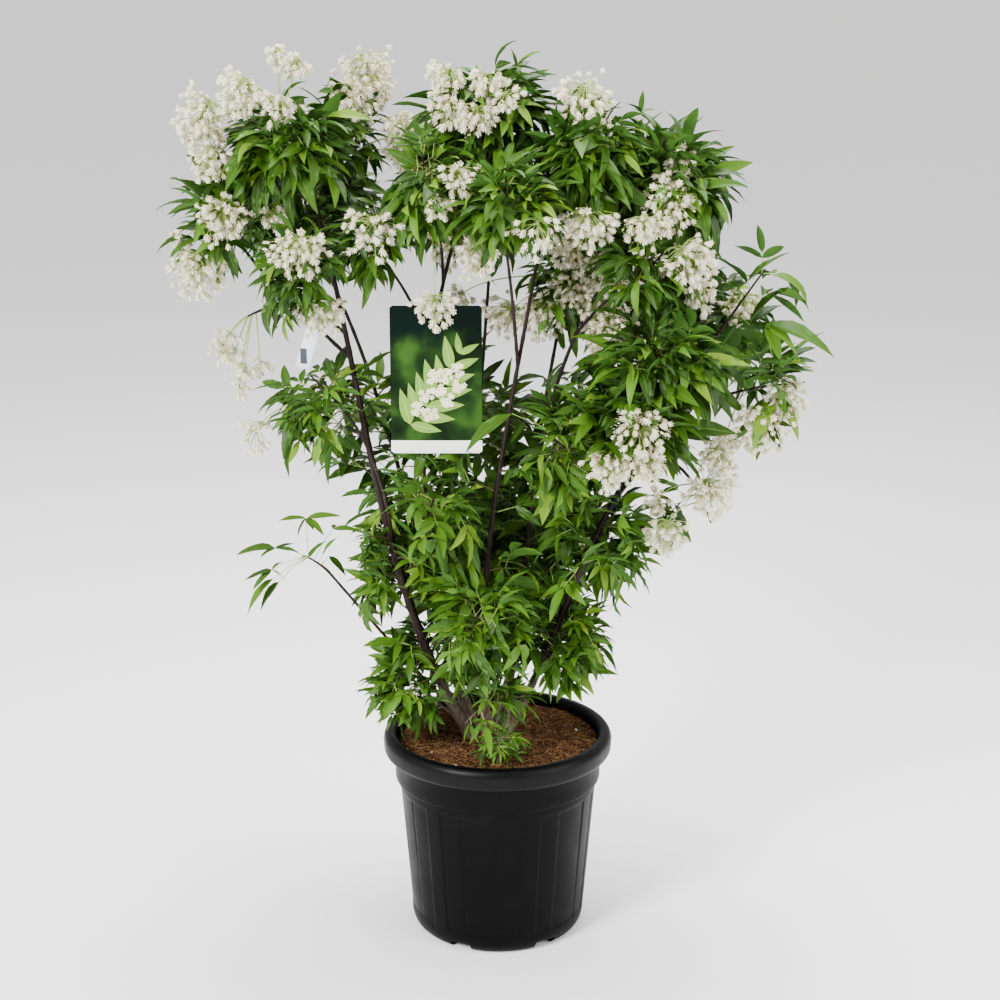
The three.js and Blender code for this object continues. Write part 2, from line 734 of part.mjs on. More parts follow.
/** Adds one compound leaf if it stays in the mass's own space and clear of everything else. */
function tryLeaf(name, carrier, root, heading, random) {
  const mass = MASSES[name];
  for (let attempt = 0; attempt < LEAF_TRIES; attempt += 1) {
    const stray = LEAF_STRAY * (attempt + 2);
    const along = heading.clone();
    along.x += (random() - 0.5) * stray;
    along.y += (random() - 0.5) * stray;
    along.z += (random() - 0.5) * stray - LEAF_DROOP;
    along.normalize();
    const side = along.clone().cross(UP).normalize();
    const normal = side.cross(along).normalize();
    normal.applyAxisAngle(along, (random() - 0.5) * LEAF_ROLL);
    const length = Math.min(LEAF_SCALE * mass.leaf, reachIn(mass, root, along));
    if (length < LEAF_SHORTEST * mass.leaf) continue;
    const wide = leafSolid(root, along, normal, length, LEAF_FREE, CLEARANCE);
    if (!wide.tips.every((tip) => ownsPoint(name, tip))) continue;
    if (touches(wide.solid, [carrier])) continue;
    const leaf = leafSolid(root, along, normal, length, -LEAF_SINK);
    place(leaf.solid);
    return [leaf.solid];
  }
  return [];
}

/** Adds one drooping panicle at a bearing, made smaller where there is no room for a full one. */
function tryPanicle(name, leader, bearing) {
  const mass = MASSES[name];
  const centre = vec(mass.centre);
  const [round, up] = bearing.map(THREE.MathUtils.degToRad);
  const out = new THREE.Vector3(Math.cos(up) * Math.cos(round), Math.cos(up) * Math.sin(round), Math.sin(up));
  const middle = centre.clone().addScaledVector(out, PANICLE_DISTANCE * reachIn(mass, centre, out));
  const axis = out.clone().multiplyScalar(PANICLE_LEAN).addScaledVector(DOWN, PANICLE_HANG).normalize();
  const foot = leader.getPoint(footShare(PANICLE_FOOT, out.z));
  for (const size of PANICLE_SIZES) {
    const length = PANICLE_LENGTH * size;
    const radius = PANICLE_RADIUS * size;
    const top = middle.clone().addScaledVector(axis, -length / 2);
    if (touches(panicleSolid(foot, top, axis, length, radius, CLEARANCE), [massParts[name][0]])) continue;
    const panicle = panicleSolid(foot, top, axis, length, radius);
    place(panicle);
    return [panicle];
  }
  return [];
}

const leaders = {};
const massParts = {};

/** A leader ends flat against its limb's tip, or in a saddle on the side of its stem. */
function startMass(name) {
  const { on, at } = MASSES[name];
  leaders[name] = leaderCurve(name);
  let leader = twig(leaders[name], at === undefined ? 2 : 3, LEADER_RADIUS, SHOOT_RADIUS);
  if (at !== undefined) {
    leader = leader.subtract(limbSolid(on, CLEARANCE));
  } else if (on !== 'soil') {
    const heading = endHeading(on);
    const across = heading.clone().cross(UP).normalize();
    const size = 4 * LEADER_RADIUS;
    const centre = curves[on].getPoint(1).addScaledVector(heading, CLEARANCE - size / 2);
    leader = leader.subtract(slab(centre, [size, size, size], across, heading));
  }
  massParts[name] = [mainBody(leader)];
  place(massParts[name][0]);
}

function hangBlooms(name) {
  const { blooms } = MASSES[name];
  massParts[name].push(...blooms.flatMap((bearing) => tryPanicle(name, leaders[name], bearing)));
}

/** Leaves go first to the tips of all twigs, then in pairs along the shoots and the leader. */
function growShoots(name, seed) {
  const random = seededRandom(seed);
  const leader = { curve: leaders[name], solid: massParts[name][0], leaves: [] };
  const shoots = [];
  for (const curve of shootLines(name, leader.curve)) {
    if (touches(twig(curve, 1, SHOOT_RADIUS, SHOOT_RADIUS, CLEARANCE), [leader.solid])) continue;
    const solid = twig(curve, 1, SHOOT_RADIUS, SHOOT_RADIUS * SHOOT_TAPER);
    place(solid);
    shoots.push({ curve, solid, leaves: [] });
  }
  const buds = [leader, ...shoots].map((twigOn) => [twigOn, LEAF_TIP_NODE, twigOn.curve.getTangent(1)]);
  const twist = random() * Math.PI;
  for (const [pair, share] of LEAF_NODES.entries()) {
    for (const twigOn of [leader, ...shoots]) {
      const headings = leafHeadings(twigOn.curve, share, twist + (pair * Math.PI) / 2);
      headings.forEach((heading) => buds.push([twigOn, share, heading]));
    }
  }
  let left = Math.round(massSize(name) / LEAF_SPACING);
  for (const [twigOn, share, heading] of buds) {
    if (left <= 0) break;
    const grown = tryLeaf(name, twigOn.solid, twigOn.curve.getPoint(share), heading, random);
    twigOn.leaves.push(...grown);
    left -= grown.length;
  }
  massParts[name].push(...leader.leaves);
  for (const shoot of shoots.filter((twigOn) => twigOn.leaves.length)) {
    massParts[name].push(shoot.solid, ...shoot.leaves);
  }
}

// Label card, tie and paper strip

function slotCentre() {
  return vec(CARD_CENTRE).addScaledVector(UP, CARD_HEIGHT / 2 - CARD_SLOT_DROP);
}

function makeCard() {
  const card = slab(vec(CARD_CENTRE), [CARD_WIDTH, CARD_THICKNESS, CARD_HEIGHT]);
  return card.subtract(slab(slotCentre(), [CARD_SLOT[0], 10, CARD_SLOT[1]]));
}

/** The tie's tail hangs before the card; it runs through the slot and round the stem. */
function makeTie() {
  const slot = slotCentre();
  const stem = curves[TIE_ON].getPoint(TIE_AT);
  const out = radiusOf(TIE_ON, TIE_AT) + TIE_RADIUS + 3 * CLEARANCE;
  const round = (degrees) => {
    const angle = THREE.MathUtils.degToRad(degrees);
    return stem.clone().add(new THREE.Vector3(out * Math.cos(angle), out * Math.sin(angle), 0));
  };
  const front = slot.clone().setY(slot.y - CARD_THICKNESS - TIE_RADIUS - CLEARANCE);
  const behind = slot.clone().setY(slot.y + 4);
  const tail = front.clone().addScaledVector(DOWN, TIE_TAIL);
  const bend = front.clone().addScaledVector(DOWN, 2 * TIE_RADIUS);
  const left = [tail, bend, front, behind, round(205), round(150), round(90)];
  const right = [round(110), round(60), round(0), round(-50), behind];
  const strands = [left, right].map((path) => tube(path, path.map(() => TIE_RADIUS), 4));
  return mainBody(strands[0].add(strands[1]).subtract(limbSolid(TIE_ON, CLEARANCE)));
}

/** A paper strip looped over a bough, with its long end hanging square to it. */
function makeStrip() {
  const centre = curves[STRIP_ON].getPoint(STRIP_AT);
  const along = curves[STRIP_ON].getTangent(STRIP_AT);
  const up = UP.clone().addScaledVector(along, -UP.dot(along)).normalize();
  const outer = radiusOf(STRIP_ON, STRIP_AT) + CLEARANCE + STRIP_LOOP;
  const ends = [-0.5, 0.5].map((share) => centre.clone().addScaledVector(along, share * STRIP_WIDTH));
  const loop = tube(ends, [outer, outer], 8);
  const middle = centre.clone().addScaledVector(up, -STRIP_LENGTH / 2 - outer / 2);
  const paper = slab(middle, [STRIP_WIDTH, STRIP_THICKNESS, STRIP_LENGTH], along, up);
  return mainBody(loop.add(paper).subtract(limbSolid(STRIP_ON, CLEARANCE)));
}

// Assembly

const plant = new THREE.Group();

function finish(red, green, blue, roughness) {
  return new THREE.MeshStandardMaterial({
    color: new THREE.Color(red, green, blue), roughness, metalness: 0, flatShading: true,
  });
}

const FINISH = {
  plastic: finish(0.012, 0.013, 0.014, 0.5),
  soil: finish(0.1, 0.05, 0.025, 0.95),
  bark: finish(0.05, 0.025, 0.018, 0.7),
  leaf: finish(0.1, 0.25, 0.04, 0.55),
  card: finish(0.05, 0.2, 0.08, 0.4),
  tie: finish(0.35, 0.6, 0.5, 0.5),
  paper: finish(0.8, 0.8, 0.78, 0.6),
};

function add(name, solid, material) {
  const { vertProperties, triVerts } = solid.getMesh();
  const geometry = new THREE.BufferGeometry();
  geometry.setAttribute('position', new THREE.BufferAttribute(new Float32Array(vertProperties), 3));
  geometry.setIndex(new THREE.BufferAttribute(new Uint32Array(triVerts), 1));
  geometry.computeVertexNormals();
  const mesh = new THREE.Mesh(geometry, material.clone());
  mesh.name = name;
  plant.add(mesh);
}

function addRigid(name, solid, material) {
  place(solid);
  add(name, solid, material);
}

addRigid('pot', makePot(), FINISH.plastic);
addRigid('soil', makeSoil(), FINISH.soil);
Object.keys(STEMS).forEach((name) => addRigid(name, makeStem(name), FINISH.bark));
Object.keys(BOUGHS).forEach((name) => addRigid(name, makeBough(name), FINISH.bark));
addRigid('label_card', makeCard(), FINISH.card);
addRigid('label_tie', makeTie(), FINISH.tie);
addRigid('paper_strip', makeStrip(), FINISH.paper);

const massNames = Object.keys(MASSES);
massNames.forEach(startMass);
massNames.forEach(hangBlooms);
massNames.forEach((name, i) => growShoots(name, i + 1));
massNames.forEach((name) => {
  const joined = wasm.Manifold.union(massParts[name]).simplify(JOIN_TOLERANCE);
  add(`foliage_${name}`, mainBody(joined), FINISH.leaf);
});

export default plant;
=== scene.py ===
# %% [markdown]
# # A potted colchis bladdernut in full bloom
#
# The shrub stands in a black nursery pot. Its solids are already made: nine stems, eleven boughs,
# thirty-five masses of foliage, the pot with its soil, a label card on a tie and a paper strip.
# This notebook dresses them. Each step first says what the piece is on the real plant, then how it
# could be made in Blender, and why it is made the way it is.

# %% Load the frame
from math import comb, radians

import bpy
import numpy as np
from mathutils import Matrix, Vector


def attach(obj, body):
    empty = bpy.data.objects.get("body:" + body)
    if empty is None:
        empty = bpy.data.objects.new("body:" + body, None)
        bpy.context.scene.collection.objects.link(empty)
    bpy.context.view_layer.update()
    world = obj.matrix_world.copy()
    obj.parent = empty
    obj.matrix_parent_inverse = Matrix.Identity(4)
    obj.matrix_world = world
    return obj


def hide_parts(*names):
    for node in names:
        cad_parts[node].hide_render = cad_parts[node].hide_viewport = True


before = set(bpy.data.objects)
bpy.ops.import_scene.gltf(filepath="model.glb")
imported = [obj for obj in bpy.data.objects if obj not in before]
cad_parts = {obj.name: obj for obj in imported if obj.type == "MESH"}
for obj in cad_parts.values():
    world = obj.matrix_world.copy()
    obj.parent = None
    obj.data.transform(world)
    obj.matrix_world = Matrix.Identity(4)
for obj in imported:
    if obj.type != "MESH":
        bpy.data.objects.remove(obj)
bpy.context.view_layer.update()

MM = 0.001
print("frame nodes:", len(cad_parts))

# %% [markdown]
# ## Camera, floor and light
#
# The photograph looks a little down at the plant from the front, from far enough away that the pot
# hardly narrows. A long lens on a level tripod, tilted down by 14.9 degrees, gives that view.
# The floor and its light are those of a plain studio: a pale sheet under a soft sky, a lamp at the
# front left, a weaker one at the right, and one from above that rims the leaves.

# %% Camera
LENS = 67.0
CAMERA_PLACE = (0.0036, -2.6, 1.35)
CAMERA_TILT = 14.9

camera_data = bpy.data.cameras.new("photo_camera")
camera_data.lens = LENS
camera_data.sensor_width = 36.0
camera = bpy.data.objects.new("photo_camera", camera_data)
camera.location = CAMERA_PLACE
camera.rotation_euler = (radians(90 - CAMERA_TILT), 0, 0)
bpy.context.scene.collection.objects.link(camera)
bpy.context.scene.camera = camera

# %% Helpers for materials


def linear(hex_code):
    """sRGB hex to linear RGBA: c/12.92 up to 0.04045, then ((c + 0.055) / 1.055) to the power 2.4."""
    c = np.array([int(hex_code[i:i + 2], 16) for i in (1, 3, 5)]) / 255
    c = np.where(c <= 0.04045, c / 12.92, ((c + 0.055) / 1.055) ** 2.4)
    return (*c.tolist(), 1.0)


def add(tree, kind, settings=None, links=None):
    """Adds one node, sets its properties or input values, and links its inputs to other outputs."""
    node = tree.nodes.new(kind)
    for key, value in (settings or {}).items():
        if isinstance(key, str) and hasattr(node, key):
            setattr(node, key, value)
        else:
            node.inputs[key].default_value = value
    for key, source in (links or {}).items():
        tree.links.new(source, node.inputs[key])
    return node


def start_material(name, **sockets):
    """A material with a shader whose constant sockets are set; returns both with the node tree."""
    material = bpy.data.materials.new(name)
    material.use_nodes = True
    tree = material.node_tree
    shader = tree.nodes["Principled BSDF"]
    for key, value in sockets.items():
        shader.inputs[key.replace("_", " ")].default_value = value
    return material, tree, shader


def ramp(tree, source, stops):
    """A colour ramp over a source: stops are pairs of a place, and a hex code or a level of grey."""
    node = add(tree, "ShaderNodeValToRGB", links={"Fac": source})
    elements = node.color_ramp.elements
    while len(elements) < len(stops):
        elements.new(0.5)
    for element, (place, colour) in zip(elements, stops):
        element.position = place
        element.color = linear(colour) if isinstance(colour, str) else (colour, colour, colour, 1.0)
    return node.outputs["Color"]


def mix(tree, factor, first, second, **settings):
    """A colour mix: the factor is a number or a socket, the colours are hex codes or sockets."""
    node = add(tree, "ShaderNodeMix", {"data_type": "RGBA", **settings})
    for place, value in ((0, factor), (6, first), (7, second)):
        if isinstance(value, bpy.types.NodeSocket):
            tree.links.new(value, node.inputs[place])
        else:
            node.inputs[place].default_value = linear(value) if isinstance(value, str) else value
    return node.outputs[2]


def noise(tree, place, scale, detail, **settings):
    """The value of a noise texture; its scale is a thousand over the size of a spot in mm."""
    values = {"Scale": scale, "Detail": detail, **settings}
    return add(tree, "ShaderNodeTexNoise", values, {"Vector": place}).outputs["Fac"]


def map_range(tree, source, low, high, **settings):
    """A source's value from low to high, mapped to 0 to 1 or to the range in the settings."""
    values = {"From Min": low, "From Max": high}
    values.update({key.replace("_", " "): value for key, value in settings.items()})
    return add(tree, "ShaderNodeMapRange", values, {"Value": source}).outputs["Result"]


def math_node(tree, operation, first, second, third=0.0):
    """One sum on two sockets, or on a socket and one or two constants."""
    node = add(tree, "ShaderNodeMath", {"operation": operation, 2: third}, {0: first})
    if isinstance(second, bpy.types.NodeSocket):
        tree.links.new(second, node.inputs[1])
    else:
        node.inputs[1].default_value = second
    return node.outputs["Value"]


def relief(tree, shader, height, strength, depth):
    """Bump of a depth in metres on the shader's normal."""
    node = add(tree, "ShaderNodeBump", {"Strength": strength, "Distance": depth}, {"Height": height})
    tree.links.new(node.outputs["Normal"], shader.inputs["Normal"])


def split(tree, vector):
    """The outputs X, Y and Z of a vector."""
    return add(tree, "ShaderNodeSeparateXYZ", links={"Vector": vector}).outputs


def start_textured(name, **sockets):
    """A material, its node tree and shader, and its Object coordinates in metres."""
    material, tree, shader = start_material(name, **sockets)
    return material, tree, shader, add(tree, "ShaderNodeTexCoord").outputs["Object"]


def skin_material(name, code, roughness, spots=700.0, detail=1.0, strength=0.25, depth=0.0004, **sockets):
    """A plain colour under a fine bump: petals and stalks, or with other values leaves."""
    sockets = {"Roughness": roughness, "IOR": 1.4, "Base_Color": linear(code), **sockets}
    material, tree, shader, place = start_textured(name, **sockets)
    relief(tree, shader, noise(tree, place, spots, detail), strength, depth)
    return material


# %% Floor, lamps and sky
FLOOR_HALF = 400.0
LAMPS = {
    "lamp_front_left": ((-2.2, -2.6, 2.6), (0, 0, 0.7), 1.0, 300),
    "lamp_right": ((2.8, -1.6, 1.8), (0, 0, 0.7), 1.8, 100),
    "lamp_above": ((0.3, 0.6, 3.4), (0, 0, 0.6), 1.6, 190),
}
SKY = ((0.0, 0.475), (0.05, 0.42), (0.3, 0.3), (0.65, 0.55))
SKY_STRENGTH = 2.4


def studio_floor():
    """A level sheet of white paper, so wide that its far edge lies at the horizon."""
    mesh = bpy.data.meshes.new("studio_floor")
    s = FLOOR_HALF
    mesh.from_pydata([(-s, -s, 0), (s, -s, 0), (s, s, 0), (-s, s, 0)], [], [(0, 1, 2, 3)])
    floor = bpy.data.objects.new("studio_floor", mesh)
    bpy.context.scene.collection.objects.link(floor)
    material, _, _ = start_material("floor_paper", Roughness=0.8, Base_Color=linear("#fbfbfa"))
    mesh.materials.append(material)


def lamp(name, place, target, size, power):
    """A square area lamp that looks at a target; metres and watts."""
    data = bpy.data.lights.new(name, "AREA")
    data.size = size
    data.energy = power
    light = bpy.data.objects.new(name, data)
    light.location = place
    light.rotation_euler = (Vector(target) - Vector(place)).to_track_quat("-Z", "Y").to_euler()
    bpy.context.scene.collection.objects.link(light)


def studio_sky():
    """Even grey light, dimmer part of the way up, so that dark plastic has little to mirror."""
    world = bpy.data.worlds.new("studio_sky")
    world.use_nodes = True
    tree = world.node_tree
    ray = add(tree, "ShaderNodeTexCoord").outputs["Generated"]
    background = tree.nodes["Background"]
    background.inputs["Strength"].default_value = SKY_STRENGTH
    tree.links.new(ramp(tree, split(tree, ray)["Z"], SKY), background.inputs["Color"])
    bpy.context.scene.world = world


studio_floor()
for name, settings in LAMPS.items():
    lamp(name, *settings)
studio_sky()
print("lamps:", len(LAMPS))

# %% [markdown]
# ## Meshes from arrays
#
# Thousands of leaflets and flowers could be instances, but a shared part has to keep them as plain
# meshes. So every piece is computed as whole numpy arrays: a shape is a function of two
# parameters on a grid, or one small template that is set down many times by a matrix product.

# %% Helpers for meshes


def mesh_piece(name, vertices, faces, materials, face_material=None, sharp=None):
    """One object from vertices in mm and a list of face arrays, each array with one face size."""
    faces = [np.asarray(f, dtype=np.int32) for f in faces if len(f)]
    totals = np.concatenate([np.full(len(f), f.shape[1], dtype=np.int32) for f in faces])
    corners = np.concatenate([f.ravel() for f in faces])
    starts = np.concatenate([[0], np.cumsum(totals)[:-1]]).astype(np.int32)
    mesh = bpy.data.meshes.new(name)
    mesh.vertices.add(len(vertices))
    mesh.vertices.foreach_set("co", (np.asarray(vertices, dtype=float) * MM).ravel())
    mesh.loops.add(len(corners))
    mesh.loops.foreach_set("vertex_index", corners)
    mesh.polygons.add(len(totals))
    mesh.polygons.foreach_set("loop_start", starts)
    for material in materials:
        mesh.materials.append(material)
    if face_material is not None:
        mesh.polygons.foreach_set("material_index", np.concatenate(face_material).astype(np.int32))
    mesh.polygons.foreach_set("use_smooth", np.ones(len(totals), dtype=bool))
    mesh.update(calc_edges=True)
    mesh.validate()
    if sharp is not None:
        mesh.set_sharp_from_angle(angle=radians(sharp))
    piece = bpy.data.objects.new(name, mesh)
    bpy.context.scene.collection.objects.link(piece)
    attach(piece, "root")
    print(f"{name}: {(totals - 2).sum()} triangles")
    return piece


def unit(v):
    """Vectors divided by their length."""
    v = np.asarray(v, dtype=float)
    return v / np.maximum(np.linalg.norm(v, axis=-1, keepdims=True), 1e-9)


def bezier(points, t):
    """The Bernstein sum over a curve's control points, at every parameter of t."""
    p = np.asarray(points, dtype=float)
    t = np.atleast_1d(t)[:, None]
    n = len(p) - 1
    return sum(comb(n, k) * (1 - t) ** (n - k) * t ** k * p[k] for k in range(n + 1))


def grid_faces(rows, ring):
    """Quads between rows of a closed ring: corner (i, k) joins (i, k+1), (i+1, k+1), (i+1, k)."""
    i, k = np.meshgrid(np.arange(rows - 1), np.arange(ring), indexing="ij")
    a = i * ring + k
    b = i * ring + (k + 1) % ring
    return np.stack([a, b, b + ring, a + ring], axis=-1).reshape(-1, 4)


def repeat_faces(faces, count, size):
    """The same faces for every one of count copies, each with size vertices."""
    shift = np.arange(count)[:, None, None] * size
    return (faces[None] + shift).reshape(-1, faces.shape[1])


def tubes(paths, radii, sides):
    """Round rods: paths (n, m, 3) with a ring of sides points of the local radius at each point.

    The ring's side is the cross product of the path's tangent and one reference direction, which is
    chosen square to the path's chord, and its other axis is tangent x side.
    """
    paths = np.asarray(paths, dtype=float)
    n, m, _ = paths.shape
    chord = unit(paths[:, -1] - paths[:, 0])
    helper = np.where(np.abs(chord[:, 2:3]) < 0.8, [[0.0, 0.0, 1.0]], [[1.0, 0.0, 0.0]])
    helper = unit(np.cross(chord, helper))
    tangent = unit(np.gradient(paths, axis=1))
    side = unit(helper[:, None] - tangent * np.sum(helper[:, None] * tangent, -1, keepdims=True))
    other = np.cross(tangent, side)
    angle = 2 * np.pi * np.arange(sides) / sides
    ring = side[:, :, None] * np.cos(angle)[:, None] + other[:, :, None] * np.sin(angle)[:, None]
    vertices = paths[:, :, None] + ring * np.asarray(radii)[:, :, None, None]
    walls = repeat_faces(grid_faces(m, sides), n, m * sides)
    cap = np.arange(sides)[None]
    caps = np.concatenate([cap[:, ::-1], cap + (m - 1) * sides])
    return vertices.reshape(-1, 3), walls, repeat_faces(caps, n, m * sides)


def scatter(template, faces, places, frames, sizes):
    """Sets a template down many times: place + size * (frame columns @ template)."""
    turned = np.einsum("nij,vj->nvi", frames, template) * np.asarray(sizes)[:, None, None]
    vertices = turned + np.asarray(places)[:, None]
    return vertices.reshape(-1, 3), repeat_faces(faces, len(places), len(template))


def frames_along(axes, rng):
    """Rotation frames whose third column follows each axis, spun about it by chance."""
    axes = unit(axes)
    helper = np.where(np.abs(axes[:, 2:3]) < 0.9, [[0.0, 0.0, 1.0]], [[1.0, 0.0, 0.0]])
    x = unit(np.cross(helper, axes))
    y = np.cross(axes, x)
    a = rng.uniform(-np.pi, np.pi, len(axes))[:, None]
    return np.stack([x * np.cos(a) + y * np.sin(a), y * np.cos(a) - x * np.sin(a), axes], axis=-1)


def join(parts, kinds):
    """Joins (vertices, faces...) tuples: vertices, face arrays and a material index for each face."""
    faces, indices, shift = [], [], 0
    for part, kind in zip(parts, kinds):
        for f in part[1:]:
            faces.append(f + shift)
            indices.append(np.full(len(f), kind))
        shift += len(part[0])
    return np.concatenate([p[0] for p in parts]), faces, indices


def closed_rings(rings, poles):
    """A skin over rings (rows, sides, 3), closed at each end by a fan to its pole."""
    rows, sides, _ = rings.shape
    last = rows * sides
    k = np.arange(sides)
    ahead = (k + 1) % sides
    low = np.stack([ahead, k, np.full(sides, last)], -1)
    high = np.stack([k + last - sides, ahead + last - sides, np.full(sides, last + 1)], -1)
    vertices = np.concatenate([rings.reshape(-1, 3), poles])
    return vertices, grid_faces(rows, sides), np.concatenate([low, high])


# %% [markdown]
# ## The plant's plan
#
# The stems, boughs and masses repeat the numbers of the part's source, in millimetres, so that
# every twig here grows from the limb that carries it there. Stems are cubic curves, boughs are
# quadratic ones, and each mass of foliage keeps to an ellipsoid.

# %% Stems, boughs and masses
STEMS = {
    "stem_left": ([[-40, -8, 296], [-172, -40, 520], [-186, -52, 850], [-250, -46, 1098]], [8.6, 2.7]),
    "stem_inner_left": ([[-28, 14, 296], [-122, -28, 526], [-138, -34, 830], [-36, -2, 1108]], [5.6, 2.3]),
    "stem_centre_dark": ([[-12, 34, 296], [-60, 44, 528], [-24, 46, 770], [-10, 58, 1010]], [4.9, 2.2]),
    "stem_centre_front": ([[-16, -24, 296], [-46, -80, 544], [20, -78, 806], [66, -44, 1075]], [5.6, 2.3]),
    "stem_centre_right": ([[-2, 0, 296], [74, 8, 500], [-2, -14, 770], [178, -12, 1022]], [5.4, 2.3]),
    "stem_back_right": ([[12, 30, 296], [26, 96, 492], [54, 108, 720], [112, 124, 1000]], [5.2, 2.3]),
    "stem_right": ([[10, -16, 296], [92, -34, 446], [122, -82, 660], [288, -52, 884]], [7.4, 2.6]),
    "stem_back_left": ([[-44, 38, 296], [-110, 60, 500], [-150, 130, 760], [-252, 112, 980]], [5.4, 2.4]),
    "stem_back_mid": ([[-6, 58, 296], [60, 120, 480], [110, 160, 640], [222, 104, 800]], [5.2, 2.4]),
}
BOUGHS = {
    "bough_left_outer": ("stem_left", 0.72, [-270, -40, 935], [-326, -22, 992], [3.2, 2.2]),
    "bough_left_back": ("stem_left", 0.86, [-222, -6, 1040], [-210, 34, 1092], [2.8, 2.0]),
    "bough_left_tassel": ("stem_left", 0.76, [-262, -16, 958], [-326, 6, 936], [2.6, 1.8]),
    "bough_mid_left": ("stem_left", 0.4, [-152, -84, 700], [-190, -76, 772], [3.4, 2.2]),
    "bough_left_spray": ("stem_left", 0.07, [-130, 12, 400], [-246, 2, 548], [3.2, 2.0]),
    "bough_left_inner": ("stem_inner_left", 0.74, [-122, -36, 962], [-142, -52, 992], [2.6, 2.0]),
    "bough_centre_left": ("stem_inner_left", 0.84, [-74, -42, 1030], [-84, -64, 1064], [2.6, 2.0]),
    "bough_centre_front": ("stem_centre_front", 0.74, [22, -96, 960], [12, -116, 1034], [2.8, 2.0]),
    "bough_shoulder_low": ("stem_centre_right", 0.84, [138, -44, 950], [170, -70, 972], [2.6, 2.0]),
    "bough_right_tip": ("stem_right", 0.8, [250, -70, 806], [310, -66, 824], [3.0, 2.2]),
    "bough_right_hang": ("stem_right", 0.66, [214, -78, 760], [250, -82, 730], [2.8, 2.0]),
}
MASSES = {
    "left_top": ("stem_left", None, [-280, -62, 1164], [92, 85, 82], 112),
    "left_top_back": ("bough_left_back", None, [-200, 60, 1166], [84, 88, 88], 112),
    "left_outer": ("bough_left_outer", None, [-376, -12, 1058], [78, 82, 96], 108),
    "left_low": ("stem_left", 0.8, [-268, -112, 1000], [62, 68, 80], 100),
    "left_inner": ("bough_left_inner", None, [-168, -72, 1040], [58, 72, 72], 100),
    "left_tassel": ("bough_left_tassel", None, [-352, 12, 886], [52, 52, 78], 70),
    "left_back": ("stem_back_left", None, [-276, 140, 1056], [120, 104, 108], 112),
    "centre_left": ("bough_centre_left", None, [-94, -88, 1118], [62, 78, 86], 106),
    "centre_top": ("stem_inner_left", None, [-12, -18, 1206], [94, 86, 86], 112),
    "centre_front": ("bough_centre_front", None, [12, -132, 1098], [78, 72, 74], 108),
    "centre_right": ("stem_centre_front", None, [126, -62, 1146], [78, 86, 94], 110),
    "shoulder": ("stem_centre_right", None, [236, -24, 1106], [82, 88, 98], 112),
    "centre_back": ("stem_centre_dark", None, [-40, 152, 1082], [130, 112, 116], 112),
    "shoulder_back": ("stem_back_right", None, [166, 164, 1078], [124, 112, 116], 112),
    "under_centre": ("stem_centre_right", 0.9, [118, 44, 960], [94, 80, 78], 92),
    "shoulder_low": ("bough_shoulder_low", None, [204, -98, 1004], [70, 68, 62], 98),
    "right_top": ("stem_right", None, [352, -22, 958], [84, 88, 76], 112),
    "right_mid": ("stem_right", 0.9, [216, -122, 880], [110, 78, 72], 108),
    "right_low": ("stem_right", 0.72, [186, -138, 806], [92, 70, 72], 100),
    "right_tip": ("bough_right_tip", None, [386, -72, 830], [76, 74, 76], 108),
    "right_hang": ("bough_right_hang", None, [272, -88, 684], [72, 66, 86], 100),
    "right_back": ("stem_back_mid", None, [286, 134, 872], [130, 112, 112], 108),
    "mid_left": ("bough_mid_left", None, [-232, -64, 812], [94, 74, 88], 104),
    "mid_centre": ("stem_inner_left", 0.44, [-92, -100, 668], [92, 70, 92], 100),
    "mid_right": ("stem_centre_right", 0.66, [92, -104, 756], [84, 68, 84], 100),
    "mid_back": ("stem_centre_dark", 0.6, [-40, 166, 780], [146, 104, 116], 112),
    "mid_right_low": ("stem_right", 0.5, [150, -8, 592], [78, 76, 94], 96),
    "low_left": ("stem_left", 0.26, [-150, -22, 552], [78, 78, 94], 96),
    "low_front": ("stem_centre_front", 0.24, [-30, -130, 508], [104, 68, 94], 98),
    "low_right": ("stem_right", 0.22, [92, -48, 458], [78, 74, 84], 94),
    "low_back": ("stem_back_mid", 0.3, [0, 150, 530], [140, 96, 126], 110),
    "foot_left": ("stem_left", 0.05, [-124, -34, 388], [72, 76, 76], 88),
    "foot_front": ("stem_centre_front", 0.07, [-14, -104, 384], [80, 56, 62], 84),
    "left_spray": ("bough_left_spray", None, [-300, 2, 572], [92, 58, 70], 88),
    "sprout": ("soil", None, [0, -108, 324], [48, 34, 32], 48),
}
SOIL_TOP = 296.0
UP = np.array([0.0, 0.0, 1.0])

REGIONS = {
    "left": ("left_top", "left_top_back", "left_outer", "left_low", "left_inner", "left_tassel",
             "left_spray"),
    "centre": ("centre_left", "centre_top", "centre_front", "centre_right"),
    "right": ("shoulder", "shoulder_low", "right_top", "right_mid", "right_low", "right_tip",
              "right_hang"),
    "back": ("left_back", "centre_back", "shoulder_back", "right_back"),
    "middle": ("under_centre", "mid_left", "mid_centre", "mid_right", "mid_back", "mid_right_low"),
    "foot": ("low_left", "low_front", "low_right", "low_back", "foot_left", "foot_front", "sprout"),
}

# %% [markdown]
# ## Limbs
#
# The rules are the source's own: a stem's curve starts a little under the soil, a bough starts inside
# its stem, radii fall with the 0.8th power of the share of length, and a stem's foot flares.

# %% Curves of the limbs
UNDER_SOIL = 14
FLARE, FLARE_HEIGHT = 0.45, 26

limbs = {}
for name, (points, radii) in STEMS.items():
    points = np.array(points, dtype=float)
    points[0] += unit(points[0] - points[1]) * UNDER_SOIL
    limbs[name] = (points, radii)
for name, (on, at, handle, tip, radii) in BOUGHS.items():
    limbs[name] = (np.array([bezier(limbs[on][0], at)[0], handle, tip]), radii)
print("limbs:", len(limbs))


